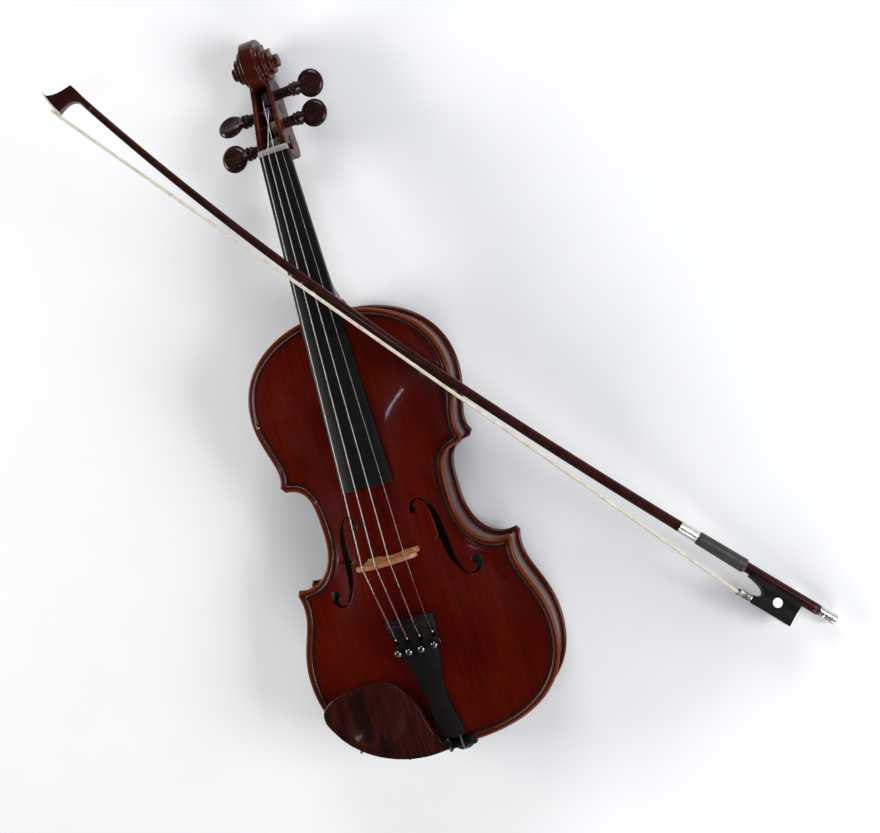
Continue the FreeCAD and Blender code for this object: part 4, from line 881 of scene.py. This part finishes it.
def board_section(y, inset=0.0):
    """Cross-section of the fingerboard with eased edges."""
    half = (24.2 + 18.0 * (325.0 - y) / 268.0) / 2 - inset
    base, side = glue_z(y), glue_z(y) + 5.0
    points = [(-half + 0.3, base), (half - 0.3, base), (half, base + 0.3), (half, side - 0.7)]
    for k in range(1, 4):
        t = k / 4
        points.append((half - 0.9 * t * t, side - 0.7 + 0.7 * (2 * t - t * t) + 0.35 * t * t))
    rise0 = sqrt(42.0 ** 2 - half ** 2)
    for k in range(21):
        x = (half - 1.0) * (1 - k / 10)
        points.append((x, side + sqrt(42.0 ** 2 - x * x) - rise0 - inset))
    for k in (3, 2, 1):
        t = k / 4
        points.append((-half + 0.9 * t * t, side - 0.7 + 0.7 * (2 * t - t * t) + 0.35 * t * t))
    points += [(-half, side - 0.7), (-half, base + 0.3)]
    return [(x, y, z) for x, z in points]


def make_neck():
    refined("neck", "instrument", "maple_body", MAPLE_NECK, 0.55, 5)
    stations = [(57.05, 0.5), (57.3, 0.2), (57.8, 0.0)] + [(58 + 266.6 * k / 40, 0.0) for k in range(41)]
    stations += [(325.0, 0.0)]
    rings = [board_section(y, inset) for y, inset in stations]
    board = loft("fingerboard_fine", rings, EBONY)
    sharp_edges(board, 50)
    own(board, "instrument", "ebony", "fingerboard")
    refined("nut", "instrument", "nut_bone", BONE, 0.25, 2)
    refined("saddle", "instrument", "ebony", EBONY, 0.3, 3)


# --- strings, pegs, tuners ------------------------------------------------------------------------
STRINGS = ("g", "d", "a", "e")
PEG_YZ = ((333.0, 28.0), (358.7, 22.5), (370.5, 20.5), (347.0, 25.0))
PEG_SIDE = (-1, -1, 1, 1)
RADII = (0.42, 0.40, 0.34, 0.15)
WOUND = ((-4.6, 2.6), (-3.4, 3.0), (-2.2, 3.8), (-1.0, 5.6))


def peg_radius(along):
    return 3.75 + along / 30.0


def sagitta(radius, x):
    return radius - sqrt(radius ** 2 - x ** 2)


def string_bends(i):
    """A string's bends from its peg over nut and bridge to its tuner, as the frame has them."""
    (y, z), r = PEG_YZ[i], RADII[i]
    at_nut, at_bridge, at_tail = (i - 1.5) * 5.5, (i - 1.5) * 11.7, (-15.2, -5.2, 5.0, 14.8)[i]
    x_peg = WOUND[i][1] - 1.0 if i < 2 else WOUND[i][0] + 1.0
    nut = (at_nut, 326.5, 46.5 + sagitta(42.0, 12.1) - sagitta(42.0, at_nut))
    dy, dz = y - nut[1], z - nut[2]
    off = peg_radius(0) + 1.05 + 3 * r
    run = sqrt(dy * dy + dz * dz - off * off)
    turn = atan2(dz, dy) + atan2(off, run)
    peg = (x_peg, nut[1] + run * cos(turn), nut[2] + run * sin(turn))
    bridge = (at_bridge, 0.0, 95.0 - sagitta(42.0, at_bridge) - 0.035 * (at_bridge + 5.85))
    fret = (at_tail, -52.5, 80.5 - 0.215 * 5.5 + 0.9 - sagitta(34.9, at_tail) + r)
    ball = (at_tail, -63.1, 80.5 - 0.215 * 16.5 - sagitta(34.0, at_tail) - 0.6)
    return peg, nut, bridge, fret, ball


def make_strings():
    for i, name in enumerate(STRINGS):
        r = RADII[i]
        peg, nut, bridge, fret, ball = [Vector(p) for p in string_bends(i)]
        speaking = [tuple(peg), tuple(peg.lerp(nut, 0.5)), tuple(nut + (peg - nut).normalized() * 0.8),
                    tuple(nut + (bridge - nut).normalized() * 0.8)]
        speaking += [tuple(nut.lerp(bridge, t)) for t in (0.1, 0.3, 0.5, 0.7, 0.9)]
        speaking += [tuple(bridge + (nut - bridge).normalized() * 0.8),
                     tuple(bridge + (fret - bridge).normalized() * 0.8), tuple(bridge.lerp(fret, 0.45))]
        shiny = tube_mesh(smooth_path(speaking, 4), r, 12)
        obj = outward(new_object("string_%s_fine" % name, *shiny, STEEL))
        own(obj, "instrument", "steel_string", "string_" + name)
        tail = [tuple(bridge.lerp(fret, 0.45)), tuple(bridge.lerp(fret, 0.75)),
                tuple(fret + (bridge - fret).normalized() * 0.7),
                tuple(fret + (ball - fret).normalized() * 0.9),
                tuple(ball)]
        silk = tube_mesh(smooth_path(tail, 5), r + (0.06 if name != "e" else 0.02), 12)
        bead = lathe_mesh([(-1.1 * cos(pi * k / 10), 1.1 * sin(pi * k / 10)) for k in range(11)], ball,
                          (1, 0, 0), 16)
        own(outward(new_object("string_%s_silk" % name, *silk, TAIL_SILK)), "instrument", "silk")
        own(outward(new_object("string_%s_ball" % name, *bead, BRASS)), "instrument", "steel_string")


def make_windings():
    for i, name in enumerate(STRINGS):
        y, z = PEG_YZ[i]
        side = PEG_SIDE[i]
        x0, x1 = WOUND[i]
        r = RADII[i] + 0.12
        turns = max(4, int((x1 - x0 - 2 * r) / (2.04 * r)))
        path = []
        steps = turns * 28
        for k in range(steps + 1):
            t = k / steps
            x = x0 + r + (x1 - x0 - 2 * r) * t
            core = peg_radius(side * x) + 0.08 + r
            a = 2 * pi * turns * t + 0.6 * i
            path.append((x, y + core * cos(a), z + core * sin(a)))
        own(tube("winding_%s_fine" % name, path, r, SILKS[name], 8), "peg_" + name, "silk", "winding_" + name)


def make_pegs():
    for name in STRINGS:
        refined("peg_" + name, "peg_" + name, "rosewood", PEGWOOD, 0.32, 4)


def make_tuners():
    for name in STRINGS:
        lo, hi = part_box("tuner_screw_" + name)
        x, y = (lo.x + hi.x) / 2 / MM, (lo.y + hi.y) / 2 / MM
        base = lo.z / MM
        profile = [(0, 0.02), (0, 0.9), (0.5, 1.45), (9.0, 1.45), (9.0, 1.9), (10.2, 1.9), (10.6, 2.85),
                   (11.0, 3.0), (12.8, 3.05), (14.4, 2.6), (15.3, 1.5), (15.7, 0.02)]

        def flutes(s, t):
            knob = exp(-((s - 11.9) / 1.1) ** 4)
            thread = 0.05 * sin(2 * pi * s / 0.7) if 1.0 < s < 8.6 else 0.0
            return -0.16 * knob * (0.5 + 0.5 * cos(24 * t)) + thread
        outline = []
        for (a, ra), (b, rb) in zip(profile, profile[1:]):
            n = max(2, int(abs(b - a) / 0.15))
            outline += [(a + (b - a) * k / n, ra + (rb - ra) * k / n) for k in range(n)]
        outline.append(profile[-1])
        obj = outward(new_object("tuner_screw_%s_fine" % name,
                                 *lathe_mesh(outline, (x, y, base), (0, 0, 1), 96, flutes), DARK_NICKEL))
        own(obj, "tuner_screw_" + name, "nickel", "tuner_screw_" + name)
        refined("tuner_lever_" + name, "tuner_lever_" + name, "black_metal", BLACK_METAL, 0.16, 3)


# --- bridge, tailpiece, chin rest -----------------------------------------------------------------
def make_fittings():
    refined("bridge", "instrument", "bridge_maple", BRIDGE, 0.22, 3)
    refined("tailpiece", "instrument", "ebony", EBONY, 0.32, 4)
    refined("chin_rest", "instrument", "rosewood", ROSEWOOD, 0.5, 8)
    refined("chin_rest_clamp", "instrument", "nickel", NICKEL, 0.25, 3)
    refined("tail_gut", "instrument", "tail_cord", CORD, 0.22, 4)
    for side in ("left", "right"):
        refined("chin_rest_barrel_" + side, "chin_rest_barrel_" + side, "nickel", NICKEL, 0.16, 3)
    paint("chin_rest_cork", CORK)
    profile = rounded([(19.2, 0.05), (19.2, 6.2), (20.6, 6.2), (21.4, 5.2), (24.4, 5.2), (25.4, 7.2),
                       (28.6, 7.2), (30.4, 5.6), (31.2, 2.6), (31.4, 0.05)], 0.5, 4)
    obj = outward(new_object("end_button_fine", *lathe_mesh([(0, 0.05), (0, 3.6), (19.1, 3.7)] + profile,
                                                            (0, -139, 31), (0, -1, 0), 64), EBONY))
    own(obj, "instrument", "ebony", "end_button")


# --- bow ------------------------------------------------------------------------------------------
def make_bow():
    """Stick, head, grip and windings, and the frog with its fittings."""
    length = BOW.length
    grip_start, grip_end = 81.0, 124.0
    wire_start, wire_length = 124.6, 16.0
    shaft = tube_mesh(stick_path(16.0, length - 14.0, 160),
                      lambda t: stick_radius(16.0 + (length - 30.0) * t), 24)
    own(outward(new_object("bow_shaft", *shaft, BOWWOOD)), "bow", "bow_wood")
    cut = Vector(at_bow(length - 27.0, 0, 0)) * MM
    refined("bow_stick", "bow", "bow_wood", BOWWOOD, 0.3, 5, "bow_head", keep=(cut, -BOW.along))
    refined("bow_head_plate", "bow", "ivory_white", IVORY, 0.18, 2)
    grip = []
    for k in range(121):
        t = k / 120
        s = grip_start + (grip_end - grip_start) * t
        grip.append(at_bow(s, camber(s), 0))

    def grip_radius(t):
        ends = min(1.0, t * 30, (1 - t) * 30)
        lap = 0.05 * max(0.0, sin(2 * pi * t * 11)) ** 4
        return stick_radius(grip_start) + 0.2 + (1.25 - 0.5 * t) * sqrt(ends) - lap
    own(outward(new_object("bow_grip_fine", *tube_mesh(grip, grip_radius, 32), LEATHER)), "bow",
        "grip_leather", "bow_grip")
    turns, path = 26, []
    for k in range(turns * 20 + 1):
        t = k / (turns * 20)
        s = wire_start + wire_length * t
        a = 2 * pi * turns * t
        r = stick_radius(s) + 0.27
        path.append(at_bow(s, camber(s) + r * cos(a), r * sin(a)))
    own(tube("bow_winding_fine", path, 0.31, SILVER, 8), "bow", "silver_wire", "bow_winding")
    make_hair()
    refined("bow_frog", "bow_frog", "ebony", EBONY, 0.3, 4)
    refined("bow_ferrule", "bow_frog", "nickel", NICKEL, 0.16, 2)
    refined("bow_heel_plate", "bow_frog", "nickel", NICKEL, 0.14, 2)
    refined("bow_screw", "bow_screw", "nickel", NICKEL, 0.22, 2)
    paint("bow_pearl_slide", PEARL)
    paint("bow_pearl_eyes", PEARL)
    paint("bow_eyelet", BRASS)


def make_hair():
    """Ribbon of hair with a fine ridge for every few hairs."""
    lo, hi = 55.5, BOW.length - 0.5
    s_frog, head_depth = 75.5, 21.4
    half_at_frog, half_at_head, thick = 4.3, 2.9, 0.85
    slope = camber(50.5) - camber(49.5)
    at_frog = camber(50) + slope * (s_frog - 50) + 20.0
    ridges = 44
    rings = []
    count = 60
    for k in range(count + 1):
        s = lo + (hi - lo) * k / count
        y = at_frog + (head_depth - at_frog) * (s - s_frog) / (BOW.length - s_frog)
        if s < s_frog:
            y = at_frog + slope * (s - s_frog)
        half = half_at_frog + (half_at_head - half_at_frog) * max(0.0, (s - s_frog) / (BOW.length - s_frog))
        ring = []
        n = ridges * 2
        for j in range(n + 1):
            z = -half + 2 * half * j / n
            ring.append((z, thick + 0.10 * (j % 2) + 0.03 * sin(5.1 * j + 0.02 * s)))
        for j in range(n, -1, -1):
            z = -half + 2 * half * j / n
            ring.append((z, -thick - 0.10 * (j % 2) - 0.03 * sin(3.7 * j)))
        rings.append([at_bow(s, y + d, z) for z, d in ring])
    own(loft("bow_hair_fine", rings, HAIR), "bow", "bow_hair", "bow_hair")


# --- room -----------------------------------------------------------------------------------------
def make_stage():
    size, n = 2200.0, 8
    marks = [-size + 2 * size * k / n for k in range(n + 1)]
    verts = [(x, y, -0.05) for y in marks for x in marks]
    faces = [(j * (n + 1) + i, j * (n + 1) + i + 1, (j + 1) * (n + 1) + i + 1, (j + 1) * (n + 1) + i)
             for j in range(n) for i in range(n)]
    finish = plain("floor", (0.80, 0.80, 0.805), (0.83, 0.83, 0.835), 0.7, 6, 0.0)
    floor = new_object("floor", verts, faces, finish)


def area_light(name, place, target, size, power, colour=(1, 1, 1)):
    data = bpy.data.lights.new(name, "AREA")
    data.shape = "RECTANGLE"
    data.size, data.size_y = size
    data.energy = power
    data.color = colour
    obj = bpy.data.objects.new(name, data)
    bpy.context.scene.collection.objects.link(obj)
    obj.location = place
    obj.rotation_mode = "QUATERNION"
    obj.rotation_quaternion = (Vector(target) - Vector(place)).to_track_quat("-Z", "Y")


def make_light_and_camera():
    world = bpy.data.worlds.new("studio")
    world.use_nodes = True
    world.node_tree.nodes["Background"].inputs["Color"].default_value = (0.93, 0.95, 1.0, 1)
    world.node_tree.nodes["Background"].inputs["Strength"].default_value = 0.10
    bpy.context.scene.world = world
    area_light("key", (-2.1, 0.7, 0.72), (0, 0.05, 0.03), (1.2, 0.5), 52, (1, 0.99, 0.97))
    area_light("fill", (1.75, -0.5, 1.05), (0, 0, 0.03), (1.2, 0.8), 38, (0.96, 0.98, 1))
    area_light("back", (0.5, 2.0, 0.85), (0, 0.1, 0.03), (1.2, 0.6), 26, (0.96, 0.98, 1))
    area_light("front", (0.3, -2.0, 0.85), (0, 0, 0.03), (1.2, 0.6), 24, (1, 0.99, 0.98))
    area_light("streak", (0.118, 0.113, 1.25), (0.06, 0.10, 0.05), (0.012, 0.30), 1.2, (0.75, 0.84, 1))
    camera = bpy.data.cameras.new("camera")
    camera.sensor_fit = "HORIZONTAL"
    camera.sensor_width = 36.0
    camera.lens = 1484.32 * 36.0 / 880.0
    camera.clip_start, camera.clip_end = 0.05, 50.0
    obj = bpy.data.objects.new("camera", camera)
    bpy.context.scene.collection.objects.link(obj)
    right = Vector((0.92694, -0.29851, -0.22731))
    down = Vector((-0.27527, -0.95272, 0.12863))
    ahead = Vector((-0.25496, -0.05666, -0.96529))
    turn = Matrix((right, -down, -ahead)).transposed()
    obj.matrix_world = Matrix.Translation(camera_place()) @ turn.to_4x4()
    bpy.context.scene.camera = obj
    bpy.context.scene.view_settings.view_transform = "Standard"


def camera_place():
    return Vector((357.1, 157.2, 1152.7)) * MM


make_light_and_camera()
make_stage()
make_body()
make_neck()
make_strings()
make_windings()
make_pegs()
make_tuners()
make_fittings()
make_bow()
